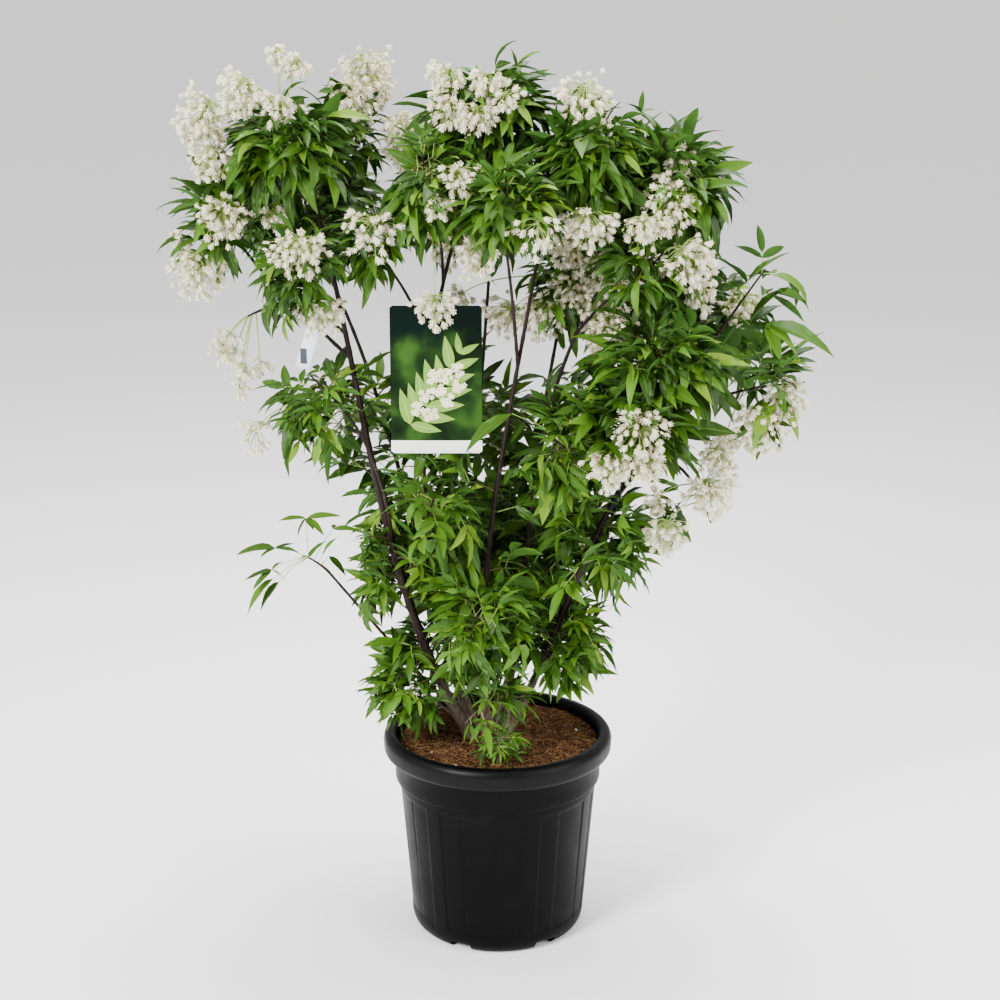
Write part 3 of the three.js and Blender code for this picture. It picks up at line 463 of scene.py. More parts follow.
def limb_radius(name, t, rise=None):
    """foot + (tip - foot) * t**0.8, times 1 + FLARE * exp(-rise / FLARE_HEIGHT) on a stem."""
    foot, tip = limbs[name][1]
    radius = foot + (tip - foot) * np.asarray(t) ** 0.8
    if rise is None:
        return radius
    return radius * (1 + FLARE * np.exp(-np.asarray(rise) / FLARE_HEIGHT))


# %% [markdown]
# ## Twigs of a mass
#
# In the source each mass is a leader with a few shoots. On the plant the leader carries ten to
# twenty, each with opposite pairs of leaves, every pair turned a quarter from the last. The rule
# stays: directions are spread by the golden angle, and leaves keep near the ellipsoid. The table
# gives, by region: the mm of a mass's mean radius for each shoot, how far the shoots reach as a share
# of the ellipsoid, the size of the leaves over the source's, how far over the ellipsoid they may go,
# and where their pairs stand along a shoot.

# %% Growth rule
GOLDEN_TURN = np.pi * (3 - 5 ** 0.5)
THREE_PAIRS, FOUR_PAIRS = (0.42, 0.7, 0.95), (0.3, 0.52, 0.74, 0.95)
GROWTH = {
    "left": (5.4, 0.46, 1.22, 1.34, THREE_PAIRS),
    "centre": (5.4, 0.46, 1.24, 1.28, THREE_PAIRS),
    "right": (5.3, 0.46, 1.28, 1.42, THREE_PAIRS),
    "back": (5.6, 0.5, 1.15, 1.16, THREE_PAIRS),
    "middle": (6.3, 0.6, 1.06, 1.22, THREE_PAIRS),
    "foot": (6.1, 0.66, 0.88, 1.18, FOUR_PAIRS),
}
REGION_OF = {name: region for region, names in REGIONS.items() for name in names}

# Masses whose leader has no leaves of its own.
BARE_LEADERS = ("right_tip", "right_hang")
# Masses with no shoots but the lone sprays or panicles, and where their leader ends.
SPRAY_ONLY = {"left_spray": [-276, 2, 571], "left_tassel": [-352, 0, 926]}
# The share of shoots that is kept in the airy masses.
THINNED = {
    "right_top": 0.15, "right_tip": 0.3, "right_hang": 0.3, "left_outer": 0.6, "left_low": 0.8,
    "left_inner": 0.85, "mid_centre": 0.6, "mid_right": 0.7, "mid_right_low": 0.75, "mid_back": 0.6,
    "low_front": 0.85, "foot_front": 0.5,
}


def reach_in(centre, radii, p, direction):
    """The positive root of |(p + s d - c) / r| = 1, for every ray at once."""
    o = (p - centre) / radii
    d = direction / radii
    a = np.sum(d * d, -1)
    b = np.sum(o * d, -1)
    k = np.sum(o * o, -1) - 1
    inside = b * b - a * k
    return np.where(inside > 0, (-b + np.sqrt(np.maximum(inside, 0))) / a, 0)


def leader_of(name):
    """Control points of the curve from the limb's tip, or stem's side, through the mass's centre."""
    on, at, centre, radii, _ = MASSES[name]
    centre = np.array(centre, dtype=float)
    if on == "soil":
        start = np.array([centre[0], centre[1] + 6, SOIL_TOP - 4])
        heading = UP
    elif at is None:
        near, start = bezier(limbs[on][0], [0.9, 1.0])
        heading = unit(start - near)
    else:
        start = bezier(limbs[on][0], at)[0]
        heading = unit(centre - start)
    span = np.linalg.norm(centre - start)
    away = unit(unit(centre - start) + 0.35 * UP)
    end = centre + away * 0.55 * reach_in(centre, np.array(radii, float), centre, away)
    if name in SPRAY_ONLY:
        end = np.array(SPRAY_ONLY[name], dtype=float)
        span = np.linalg.norm(end - start) * 0.6
    return np.array([start, start + heading * span * 0.6, end])


def ellipsoid_of(name):
    """Centre and radii of a mass."""
    return (np.array(v, dtype=float) for v in MASSES[name][2:4])


def across_of(tangent, angle):
    """Directions square to each tangent, turned about it by an angle."""
    side = unit(np.cross(tangent, UP) + 1e-3)
    return side * np.cos(angle)[:, None] + np.cross(tangent, side) * np.sin(angle)[:, None]


def shoots_of(name, leader, rng):
    """Control points (n, 3, 3) of the shoots: from the leader, bending up, to a spread direction."""
    centre, radii = ellipsoid_of(name)
    spacing, share_out, *_ = GROWTH[REGION_OF[name]]
    count = int(round(2 + np.cbrt(np.prod(radii)) / spacing))
    i = np.arange(count)
    z = 1 - 2 * (i + 0.5) / count
    turn = i * GOLDEN_TURN + radii[0]
    ring = np.sqrt(1 - z * z)
    direction = np.stack([ring * np.cos(turn), ring * np.sin(turn), z], -1)
    direction = unit(direction + rng.normal(0, 0.12, direction.shape))
    back = unit(leader[0] - centre)
    direction = direction[direction @ back < 0.8]
    run = unit(leader[2] - leader[0])
    share = np.clip(0.6 + 0.34 * direction @ run, 0.28, 0.97)
    foot = bezier(leader, share)
    reach = reach_in(centre, radii, centre[None], direction)
    reach = share_out * reach * rng.uniform(0.8, 1.15, len(reach))
    tip = centre + direction * reach[:, None]
    length = np.linalg.norm(tip - foot, axis=1)
    handle = foot + (tip - foot) * 0.5 + UP * length[:, None] * 0.12
    handle = handle + rng.normal(0, 0.06, handle.shape) * length[:, None]
    keep = (length > 16) & (rng.random(len(length)) < THINNED.get(name, 1.0))
    return np.stack([foot, handle, tip], axis=1)[keep]


def along_shoots(shoots, t):
    """Points and tangents at share t of every quadratic shoot."""
    a, b, c = shoots[:, 0], shoots[:, 1], shoots[:, 2]
    point = (1 - t) ** 2 * a + 2 * t * (1 - t) * b + t * t * c
    return point, unit((1 - t) * (b - a) + t * (c - b))


def leaf_places(name, leader, shoots, rng):
    """Roots, headings and lengths of compound leaves: opposite pairs, and one leaf at each tip."""
    centre, radii = ellipsoid_of(name)
    twigs = shoots if name in BARE_LEADERS else np.concatenate([leader[None], shoots])
    roots, headings = [], []
    twist = rng.uniform(0, np.pi, len(twigs))
    *_, larger, looser, pairs = GROWTH[REGION_OF[name]]
    for step, share in enumerate(pairs):
        point, tangent = along_shoots(twigs, share)
        across = across_of(tangent, twist + step * np.pi / 2)
        for sign in (1, -1):
            roots.append(point)
            headings.append(unit(0.55 * tangent + sign * across))
    point, tangent = along_shoots(twigs, 0.99)
    roots.append(point)
    headings.append(tangent)
    roots = np.concatenate(roots)
    headings = np.concatenate(headings)
    headings = headings + rng.normal(0, 0.16, headings.shape)
    headings = unit(headings + 0.3 * unit(roots - centre))
    full = larger * MASSES[name][4] * rng.uniform(0.78, 1.08, len(roots))
    loose = rng.uniform(0.9, looser, len(roots))[:, None]
    length = np.minimum(full, reach_in(centre, radii * loose, roots, headings))
    keep = (length > 0.45 * full) & clear_of_things(roots, roots + headings * length[:, None])
    return roots[keep], headings[keep], length[keep]


# %% [markdown]
# Low down, the stems themselves carry short leafy shoots between the masses, which hide much of the
# wood on the real plant. They stand in opposite pairs, 30 mm apart.

# %% Shoots on the stems
STEM_SHOOT_STEP = 30.0
STEM_SHOOT_SHARE = 0.65
STEM_SHOOT_HEIGHTS = {"foot": (400.0, 600.0), "middle": (600.0, 800.0)}
STEM_LEAF = 84.0


def stem_shoots(region, rng):
    """Quadratic shoots (n, 3, 3) from the stems between two heights, in pairs turned a quarter."""
    low, high = STEM_SHOOT_HEIGHTS[region]
    shoots = []
    for name in STEMS:
        t = np.linspace(0, 0.8, 400)
        line = bezier(limbs[name][0], t)
        run = np.concatenate([[0], np.cumsum(np.linalg.norm(np.diff(line, axis=0), axis=1))])
        stops = np.arange(20, run[-1], STEM_SHOOT_STEP)
        at = np.stack([np.interp(stops, run, line[:, k]) for k in range(3)], -1)
        turn = np.arange(len(stops)) * np.pi / 2 + rng.uniform(0, 3)
        for sign in (1, -1):
            out = np.stack([np.cos(turn) * sign, np.sin(turn) * sign, 0 * turn + 0.35], -1)
            length = rng.uniform(22, 62, len(stops))[:, None]
            tip = at + unit(out + rng.normal(0, 0.2, out.shape)) * length
            bend = (at + tip) / 2 + UP * 0.1 * length
            keep = (at[:, 2] > low) & (at[:, 2] <= high) & (rng.random(len(stops)) < STEM_SHOOT_SHARE)
            shoots.append(np.stack([at, bend, tip], axis=1)[keep])
    return np.concatenate(shoots)


def shoot_leaves(shoots, size, rng):
    """One opposite pair and one end leaf for every short shoot."""
    roots, headings = [], []
    point, tangent = along_shoots(shoots, 0.9)
    across = across_of(tangent, rng.uniform(0, np.pi, len(shoots)))
    for heading in (tangent, 0.55 * tangent + across, 0.55 * tangent - across):
        roots.append(point)
        headings.append(unit(heading + rng.normal(0, 0.16, point.shape) - 0.1 * UP))
    roots = np.concatenate(roots)
    headings = np.concatenate(headings)
    length = size * rng.uniform(0.78, 1.1, len(roots))
    keep = clear_of_things(roots, roots + headings * length[:, None])
    return roots[keep], headings[keep], length[keep]


# %% [markdown]
# A leaf is left out where it would cut the card, the pot or the soil, hide the card, the paper strip
# or a stem that the photo shows, fill a patch of sky, or pass the back of the solids. The boxes are
# ranges of X, Y and Z in mm. Three stems stay open to the camera: from one share of their curve to
# another, and for a width in mm on either side.

# %% Room for the card, the pot and the soil
KEEP_OUTS = (
    ((-150, -20), (-400, -74), (762, 950)),      # before the card
    ((-80, -38), (-400, -30), (298, 394)),       # gap at the foot that shows the old stems
    ((-288, -226), (-400, -20), (846, 935)),     # before the paper strip
    ((-176, -146), (-300, 300), (1100, 1300)),   # sky inside the crown
    ((388, 520), (-300, 60), (690, 850)),        # the flowers at the right stand free
    ((256, 400), (-300, 60), (540, 668)),        # and the lowest of them too
    ((-420, -212), (-300, 300), (480, 650)),     # sky left of the foot
    ((-600, 600), (262, 500), (0, 1400)),        # behind the solids
)
SOIL_WALL, RIM_REACH, RIM_TOP = 145.0, 176.0, 307.0
EYE = np.array(CAMERA_PLACE) / MM
SHOWN = {
    "stem_left": (0.16, 0.8, 15.0),
    "stem_centre_front": (0.34, 0.66, 9.0),
    "stem_right": (0.22, 0.5, 10.0),
}


def before_a_stem(points):
    """True where a point hides a shown stretch of a stem from the photographer's place.

    A point at p - eye = (x, y, z) is seen at (x / y, z / y), and so is the stem's curve.
    """
    away = points - EYE
    across = away[:, 0] / away[:, 1]
    rise = away[:, 2] / away[:, 1]
    hidden = np.zeros(len(points), dtype=bool)
    for name, (start, end, width) in SHOWN.items():
        line = bezier(limbs[name][0], np.linspace(start, end, 40)) - EYE
        stem_rise = line[:, 2] / line[:, 1]
        beside = np.interp(rise, stem_rise, line[:, 0] / line[:, 1], left=9, right=9)
        depth = np.interp(rise, stem_rise, line[:, 1])
        hidden |= (np.abs(across - beside) * depth < width) & (away[:, 1] < depth + 5)
    return hidden


def clear_of_things(roots, tips):
    """True where a leaf hides no shown stem, and its middle, its outer part and its tip are free."""
    good = np.ones(len(roots), dtype=bool)
    for share in (0.3, 0.45, 0.6, 0.75, 0.9, 1.0):
        good &= ~before_a_stem(roots + (tips - roots) * share)
    for p in (roots + (tips - roots) * 0.45, roots + (tips - roots) * 0.75, tips):
        inside = np.zeros(len(p), dtype=bool)
        for box in KEEP_OUTS:
            low, high = np.array(box).T
            inside |= np.all((p > low) & (p < high), axis=1)
        radius = np.hypot(p[:, 0], p[:, 1])
        sunk = (radius < SOIL_WALL + 5) & (p[:, 2] < SOIL_TOP + 3)
        in_rim = (radius >= SOIL_WALL) & (radius < RIM_REACH) & (p[:, 2] < RIM_TOP + 4)
        good &= ~(inside | sunk | in_rim)
    return good


# %% [markdown]
# ## A leaflet
#
# A bladdernut's leaf has three or five lance-shaped leaflets on one stalk. The leaflet is a thin
# closed blade: across, its ring has five corners (edge, both sides of the midrib, edge, and the
# middle of the underside), and along, rows follow a circular arc that bends the tip down.
# The half width at share u is 2.94 u^0.62 (1 - u)^1.05 of half the width. A flat card with a leaf
# image would be lighter, but it would show no fold, no midrib and no thickness.

# %% Leaflets as one array
LEAFLET_ROWS = {"left": 7, "centre": 7, "right": 7, "back": 5, "middle": 5, "foot": 5}
PRINT_ROWS = 7
RIB = 0.045


def leaflets(base, heading, normal, length, width, bend, fold, twist, rows, thickness=0.7):
    """Blades: centre(u) is an arc of angle bend; the ring folds up by fold and turns by twist."""
    n = len(base)
    u = np.linspace(0, 1, rows)[None]
    u = 0.03 * u + 0.97 * u ** 1.1
    side = unit(np.cross(heading, normal))
    normal = unit(np.cross(side, heading))
    angle = np.maximum(bend, 0.02)[:, None] * u
    run = (length / np.maximum(bend, 0.02))[:, None]
    centre = base[:, None] + (run * np.sin(angle))[..., None] * heading[:, None]
    centre = centre - (run * (1 - np.cos(angle)))[..., None] * normal[:, None]
    up = normal[:, None] * np.cos(angle)[..., None] + heading[:, None] * np.sin(angle)[..., None]
    turn = (twist[:, None] * u)[..., None]
    across = side[:, None] * np.cos(turn) + up * np.sin(turn)
    up = up * np.cos(turn) - side[:, None] * np.sin(turn)
    shape = 2.94 * np.maximum(u, 1e-6) ** 0.62 * (1 - u) ** 1.05
    half = np.maximum(width[:, None] / 2 * shape, 0.25)[..., None]
    lift = np.tan(fold)[:, None, None] * half
    wave = (0.10 * np.sin(9 * u + base[:, :1]))[..., None] * half
    thick = thickness * np.maximum(np.sin(np.pi * u ** 0.7), 0.15)[..., None]
    left = centre - across * half + up * (lift + wave)
    right = centre + across * half + up * (lift - wave)
    rib = RIB * half
    rib_left = centre - across * rib + up * (0.03 * half)
    rib_right = centre + across * rib + up * (0.03 * half)
    under = centre - up * thick
    ring = np.stack([left, rib_left, rib_right, right, under], axis=2)
    walls = grid_faces(rows, 5)[:, ::-1]
    cap = np.arange(5)[None]
    caps = np.concatenate([cap, cap[:, ::-1] + (rows - 1) * 5])
    kinds = np.tile([0, 1, 0, 2, 2], rows - 1)
    size = rows * 5
    return (ring.reshape(n * size, 3), repeat_faces(walls, n, size), repeat_faces(caps, n, size), kinds)


# %% [markdown]
# ## Leaf materials
#
# The upper side is a waxy green that shines in the studio light, the underside is paler and dull.
# The tints are plain colours dealt out leaf by leaf: deep green high up, fresher green low down,
# and a few yellow-green young leaves. Veins under the wax are a fine bump.

# %% Leaf materials
def leaf_material(name, code, roughness, strength):
    """A plain leaf colour with a faint quilting between the veins, about 3 mm apart."""
    wax = {"IOR": 1.45, "Specular_IOR_Level": 0.21}
    return skin_material(name, code, roughness, 320.0, 2.0, strength, 0.0006, **wax)


LEAF_TINTS = [
    leaf_material("leaf_deep_green", "#243d09", 0.46, 0.35),
    leaf_material("leaf_green", "#33520d", 0.48, 0.35),
    leaf_material("leaf_fresh_green", "#496d16", 0.5, 0.35),
    leaf_material("leaf_yellow_green", "#5f7d1c", 0.5, 0.35),
]
LEAF_RIB = leaf_material("leaf_midrib", "#4a7220", 0.5, 0.2)
LEAF_UNDER = leaf_material("leaf_underside", "#3c6020", 0.65, 0.3)
TINT_SHARES = {"high": (0.42, 0.38, 0.16, 0.04), "low": (0.2, 0.4, 0.33, 0.07)}

# %% [markdown]
# The end leaflet is the longest. Leaves above the crown's height droop more and are slimmer, and
# those of the sprout and the foot are the slimmest.

# %% Compound leaves
FIVE_SHARE, YOUNG_SHARE, YOUNG_TINT = 0.42, 0.03, 3
CROWN_HEIGHT, DEEP_GREEN_HEIGHT = 860, 780


def compound_leaves(name, roots, headings, length, rng):
    """Leaflet arrays and stalk paths: 3 or 5 leaflets on a petiole of a third of the leaf."""
    n = len(roots)
    normal = UP - headings * headings[:, 2:3]
    normal = unit(normal + 1e-3)
    roll = rng.normal(0, 0.45, n)[:, None]
    side = np.cross(headings, normal)
    normal = unit(normal * np.cos(roll) + side * np.sin(roll))
    side = np.cross(headings, normal)
    joint = roots + headings * (0.3 * length)[:, None] + normal * (0.02 * length)[:, None]
    five = rng.random(n) < FIVE_SHARE
    height = MASSES[name][2][2]
    slim = 0.2 if name in ("sprout", "foot_front") else 0.26 if height > CROWN_HEIGHT else 0.285
    droop = (0.5, 1.3) if height > CROWN_HEIGHT else (0.3, 0.95)
    out = []

    def blade(at, direction, share, keep, bend_more=0.0):
        m = int(keep.sum())
        if not m:
            return
        d = unit(direction[keep] + rng.normal(0, 0.09, (m, 3)))
        size = share * length[keep] * rng.uniform(0.86, 1.1, m)
        out.append((
            at[keep], d, unit(normal[keep] + rng.normal(0, 0.16, (m, 3))), size,
            size * slim * rng.uniform(0.86, 1.18, m),
            rng.uniform(*droop, m) + bend_more, rng.uniform(0.12, 0.5, m),
            rng.normal(0, 0.35, m), np.flatnonzero(keep),
        ))

    every = np.ones(n, dtype=bool)
    tip_at = roots + headings * (0.4 * length)[:, None] + normal * (0.02 * length)[:, None]
    blade(tip_at, headings, 0.7, every)
    for sign in (1, -1):
        blade(joint, headings * 0.62 + sign * side * 0.8, 0.62, every, 0.1)
    low_at = roots + headings * (0.2 * length)[:, None]
    for sign in (1, -1):
        blade(low_at, headings * 0.45 + sign * side * 0.9, 0.46, five, 0.1)
    fields = [np.concatenate([o[k] for o in out]) for k in range(9)]
    shares = TINT_SHARES["high" if height > DEEP_GREEN_HEIGHT else "low"]
    tint = rng.choice(4, n, p=shares)[fields[8]]
    tint = np.where(rng.random(len(tint)) < YOUNG_SHARE, YOUNG_TINT, tint)
    stalks = np.stack([roots, (roots + tip_at) / 2 + normal * (0.01 * length)[:, None], tip_at], axis=1)
    return fields[:8], tint, stalks


# %% [markdown]
# A few leaflets stand alone against the sky and give the plant its outline: the bare spray at the
# lower left, the long leaves at the right tip, and the young shoots at the top. They are set down
# one by one, from a root to a tip, so that each is where it is seen.

# %% Single sprays
SPRAYS = {
    "left_spray": [
        [[-278, 4, 629], [-315, -10, 630], [-227, 0, 634], [-251, -20, 611], [-266, -14, 617],
         [-292, 10, 596]],
        [[-239, 6, 613], [-192, 0, 607], [-238, 30, 613]],
        [[-324, 0, 586], [-379, -10, 578], [-342, -24, 579], [-294, 10, 590], [-288, -16, 584]],
        [[-329, -4, 554], [-368, -10, 540], [-355, -20, 529], [-312, 6, 564], [-311, 10, 533]],
        [[-327, -6, 541], [-365, -16, 489]],
        [[-319, 0, 535], [-346, -10, 493]],
        [[-276, 2, 571], [-250, 10, 594], [-294, 20, 562]],
        [[-255, 4, 573], [-233, 0, 601]],
        [[-246, 2, 573], [-222, -6, 546]],
    ],
    "left_low": [[[-302, -60, 1004], [-276, -60, 931], [-334, -50, 953], [-309, -50, 947]]],
    "right_top": [
        [[344, -40, 979], [294, -70, 1018], [400, -60, 1024], [304, -80, 971]],
        [[349, -50, 922], [400, -70, 978], [399, -30, 947]],
    ],
    "right_tip": [[[369, -70, 927], [459, -90, 885], [406, -110, 890], [385, -100, 882]]],
    "centre_top": [[[26, -30, 1270], [58, -40, 1289], [58, -50, 1263], [18, -30, 1294], [4, -50, 1259]]],
    "centre_right": [[[194, -40, 1210], [195, -50, 1237], [173, -60, 1222], [216, -30, 1212]]],
    "mid_right": [[[20, -130, 814], [-42, -150, 765]]],
}
SPRAY_SLIM = 0.31


def single_sprays(name, leader, rng):
    """Leaflet arrays, tints and stalks: an arc of angle b starts b / 2 above its chord to the tip."""
    bases, ends, stalks = [], [], []
    line = bezier(leader, np.linspace(0.2, 1, 30))
    for root, *tips in SPRAYS[name]:
        root = np.array(root, dtype=float)
        start = line[np.argmin(np.linalg.norm(line - root, axis=1))]
        middle = (start + root) / 2 + UP * 0.08 * np.linalg.norm(root - start)
        stalks.append([start, middle, root])
        bases += [root] * len(tips)
        ends += tips
    bases = np.array(bases, dtype=float)
    chord = np.array(ends, dtype=float) - bases
    size = np.linalg.norm(chord, axis=1)
    chord = unit(chord)
    normal = unit(UP - chord * chord[:, 2:3] + [0.0, -0.25, 0.0])
    bend = rng.uniform(0.35, 0.75, len(size))
    heading = chord * np.cos(bend / 2)[:, None] + normal * np.sin(bend / 2)[:, None]
    length = size * (bend / 2) / np.sin(bend / 2)
    width = length * SPRAY_SLIM * rng.uniform(0.85, 1.15, len(size))
    fold = rng.uniform(0.12, 0.4, len(size))
    fields = (bases, heading, normal, length, width, bend, fold, rng.normal(0, 0.2, len(size)))
    return fields, rng.choice([0, 1, 2], len(size), p=[0.3, 0.4, 0.3]), np.array(stalks)


# %% [markdown]
# ## Blossom
#
# The blossom hangs in loose panicles: an arching stalk from the twig, short opposite branches, and
# on each branch a few nodding flowers with five white sepals and five white petals, and small buds
# among them. One flower is a template of 100 triangles; every petal is a closed
# little boat with a top and an underside.

# %% Flower templates
def petal_ring(count, phase, base, middle, tip, half_width, thick):
    """Petals round Z: base, middle and tip are (radius, height), and the tip is blunt.

    Five corners run round each petal and one lies on each side of its middle: ten faces.
    """
    vertices = []
    for k in range(count):
        a = 2 * np.pi * k / count + phase
        out = np.array([np.cos(a), np.sin(a), 0.0])
        side = np.array([-np.sin(a), np.cos(a), 0.0])
        low, mid, top = (out * r + UP * h for r, h in (base, middle, tip))
        lift = np.cross(side, unit(top - low))
        cup = -lift * thick * 0.8
        vertices += [low, mid - side * half_width + cup, top - side * half_width * 0.5 + cup,
                     top + side * half_width * 0.5 + cup, mid + side * half_width + cup]
        vertices += [mid + lift * thick * 0.6 + (top - mid) * 0.2, mid - lift * 0.1 + (top - mid) * 0.2]
    ring = np.arange(5)
    ahead = (ring + 1) % 5
    upper = np.stack([ring, ahead, np.full(5, 5)], -1)
    under = np.stack([ahead, ring, np.full(5, 6)], -1)
    return np.array(vertices), repeat_faces(np.concatenate([upper, under]), count, 7)


def bud_template():
    """A closed drop: rings of five corners at three heights between two poles."""
    heights = np.array([1.2, 3.4, 5.2])
    radii = np.array([1.1, 1.9, 1.3])
    angle = 2 * np.pi * np.arange(5) / 5
    ring = np.stack([np.cos(angle), np.sin(angle)], -1)
    body = np.concatenate([np.c_[ring * r, np.full(5, h)] for r, h in zip(radii, heights)])
    vertices, quads, fans = closed_rings(body.reshape(3, 5, 3), [[0, 0, 0], [0, 0, 6.4]])
    return vertices, np.concatenate([quads[:, [0, 1, 2]], quads[:, [0, 2, 3]], fans])


SEPALS = petal_ring(5, 0.0, (0.8, 0.2), (3.2, 4.8), (6.6, 9.2), 1.8, 0.8)
PETALS = petal_ring(5, np.pi / 5, (0.5, 1.0), (2.4, 7.2), (4.6, 12.6), 1.6, 0.7)
BUD = bud_template()


# %% Blossom materials
# Thin waxy petals, matt green buds and stalks.
PETAL = skin_material("petal_white", "#efebda", 0.5)
SEPAL = skin_material("sepal_cream", "#e2dab4", 0.55)
BUD_SKIN = skin_material("bud_green_white", "#d5dca8", 0.5)
STALK_SKIN = skin_material("flower_stalk_green", "#94a85a", 0.6)


# %% [markdown]
# The source gives each mass one to three panicles, by their bearing from its centre. In view the
# plant has more and smaller ones, so the table below sets them where they are seen: the middle of
# each in mm, its size and its fullness. The masses at the back keep the source's, as pairs of a
# bearing round the plant and one upwards, in degrees.
# In a panicle the stalks part from one drooping axis like the ribs of a fan, and each ends in one
# flower that looks outwards and down. Their ends lie on shells inside one another.

# %% Panicles
BLOOM_SHARE = 0.8
BLOOM_LENGTH = 56.0
BLOOM_SPREAD = 35.0
FLOWERS = 106
BUD_SHARE = 0.14
BACK_SIZE, BACK_FULLNESS = 0.95, 0.8
PANICLES = {
    "left_top": [[-294, -60, 1287, 0.3, 0.6], [-270, -62, 1271, 0.45, 0.8], [-339, -90, 1234, 0.95, 1],
        [-397, -70, 1205, 0.95, 1], [-387, -70, 1179, 0.6, 0.8], [-285, -110, 1219, 0.6, 0.9],
        [-384, -80, 1148, 0.8, 1]],
    "left_outer": [[-372, -80, 1069, 0.95, 1], [-411, -50, 995, 1.05, 1], [-435, -30, 1033, 0.4, 0.6],
        [-303, -60, 1070, 0.45, 0.6]],
    "left_top_back": [[-182, 40, 1260, 0.95, 1], [-196, 10, 1218, 0.95, 1], [-136, 20, 1189, 0.6, 0.9],
        [-126, 10, 1153, 0.7, 0.9], [-166, 50, 1238, 0.6, 0.9]],
    "left_low": [[-260, -160, 1034, 0.95, 1], [-236, -120, 945, 0.85, 0.9]],
    "left_inner": [[-165, -120, 1053, 1.05, 1]],
    "left_tassel": [[-383, 0, 895, 0.4, 0.35], [-375, 10, 868, 0.4, 0.4], [-358, -10, 850, 0.42, 0.35],
        [-336, 0, 853, 0.4, 0.35], [-366, 0, 827, 0.4, 0.4], [-392, -6, 876, 0.3, 0.35]],
    "mid_left": [[-337, -80, 773, 0.7, 0.35]],
    "centre_left": [[-50, -150, 1131, 0.6, 0.7], [-77, -150, 1095, 0.45, 0.7],
        [-83, -136, 959, 0.7, 0.8]],
    "centre_top": [[-68, -60, 1255, 0.65, 1], [-67, -80, 1213, 0.8, 1], [-16, -80, 1248, 0.55, 1],
        [-27, -95, 1206, 0.6, 0.9], [13, -90, 1229, 0.4, 0.7]],
    "centre_front": [[53, -180, 1060, 1, 0.28], [-27, -120, 1023, 0.7, 0.9]],
    "centre_right": [[116, -60, 1227, 0.95, 1], [127, -70, 1188, 0.6, 0.8], [121, -130, 1066, 0.95, 1]],
    "shoulder": [[248, -50, 1145, 0.45, 0.8], [231, -100, 1083, 1, 1], [232, -80, 1114, 0.6, 0.9]],
    "shoulder_low": [[195, -130, 1061, 0.7, 0.9], [258, -120, 1015, 1, 1], [273, -100, 966, 0.55, 0.8]],
    "under_centre": [[98, -10, 1019, 0.7, 0.9], [148, -20, 991, 0.95, 1], [103, 0, 963, 0.85, 1],
        [14, 60, 915, 0.9, 1], [66, 20, 922, 0.95, 1], [145, -10, 939, 0.8, 0.9],
        [154, -20, 906, 0.9, 1], [-55, 60, 943, 0.5, 0.6]],
    "right_mid": [[177, -90, 908, 0.55, 0.7]],
    "right_low": [[190, -195, 801, 1.05, 1], [153, -175, 748, 0.9, 1], [197, -190, 753, 0.65, 0.9],
        [242, -120, 799, 0.5, 0.7]],
    "right_hang": [[296, -120, 700, 1, 1], [305, -110, 747, 0.6, 0.8], [233, -110, 637, 0.85, 0.9],
        [221, -100, 682, 0.4, 0.6]],
    "right_top": [[352, 60, 930, 0.8, 1]],
    "right_tip": [[365, -110, 789, 1.1, 1], [398, -100, 828, 0.75, 1], [312, -100, 770, 0.6, 0.9]],
    "left_back": [[100, 30], [150, -10], [60, -20]],
    "centre_back": [[70, 30], [120, 0], [-120, -50]],
    "shoulder_back": [[60, 30], [20, 0], [110, -10]],
    "right_back": [[40, -10], [90, -20]],
}


def panicle(foot, out, middle, length, spread, count, rng):
    """One panicle: stem path, stalk paths, and the place and axis of each flower.

    End i is top + axis * c * length * r + across * sqrt(1 - c^2) * spread * r, with c falling evenly
    from 1 to 0.1, the turn about the axis growing by the golden angle, and r a shell's share.
    """
    axis = unit(0.45 * out - 0.85 * UP + rng.normal(0, 0.12, 3))
    top = middle - axis * length * 0.5
    lift = UP * 0.16 * np.linalg.norm(top - foot)
    stem = np.array([foot, (foot + top) / 2 + lift, top - axis * 8, top + axis * length * 0.5])
    i = np.arange(count)
    c = 1 - 0.9 * (i + 0.5) / count
    turn = i * GOLDEN_TURN + rng.uniform(0, 6.3)
    x = unit(np.cross(axis, UP + 1e-3))
    y = np.cross(axis, x)
    across = x * np.cos(turn)[:, None] + y * np.sin(turn)[:, None]
    shell = rng.choice([0.5, 0.76, 1.0], count, p=[0.2, 0.36, 0.44])
    ends = top + axis * (c * length * shell)[:, None]
    ends = ends + across * (np.sqrt(1 - c * c) * spread * shell)[:, None]
    ends = ends + rng.normal(0, 3.0, ends.shape)
    starts = top + axis * ((0.04 + 0.4 * c) * length * shell)[:, None]
    bow = (starts + ends) / 2 + UP * 2.5
    axes = unit(ends - top - axis * 0.12 * length) - 0.35 * UP + rng.normal(0, 0.34, ends.shape)
    return bezier(stem, np.linspace(0, 1, 14)), np.stack([starts, bow, ends], axis=1), unit(axes)


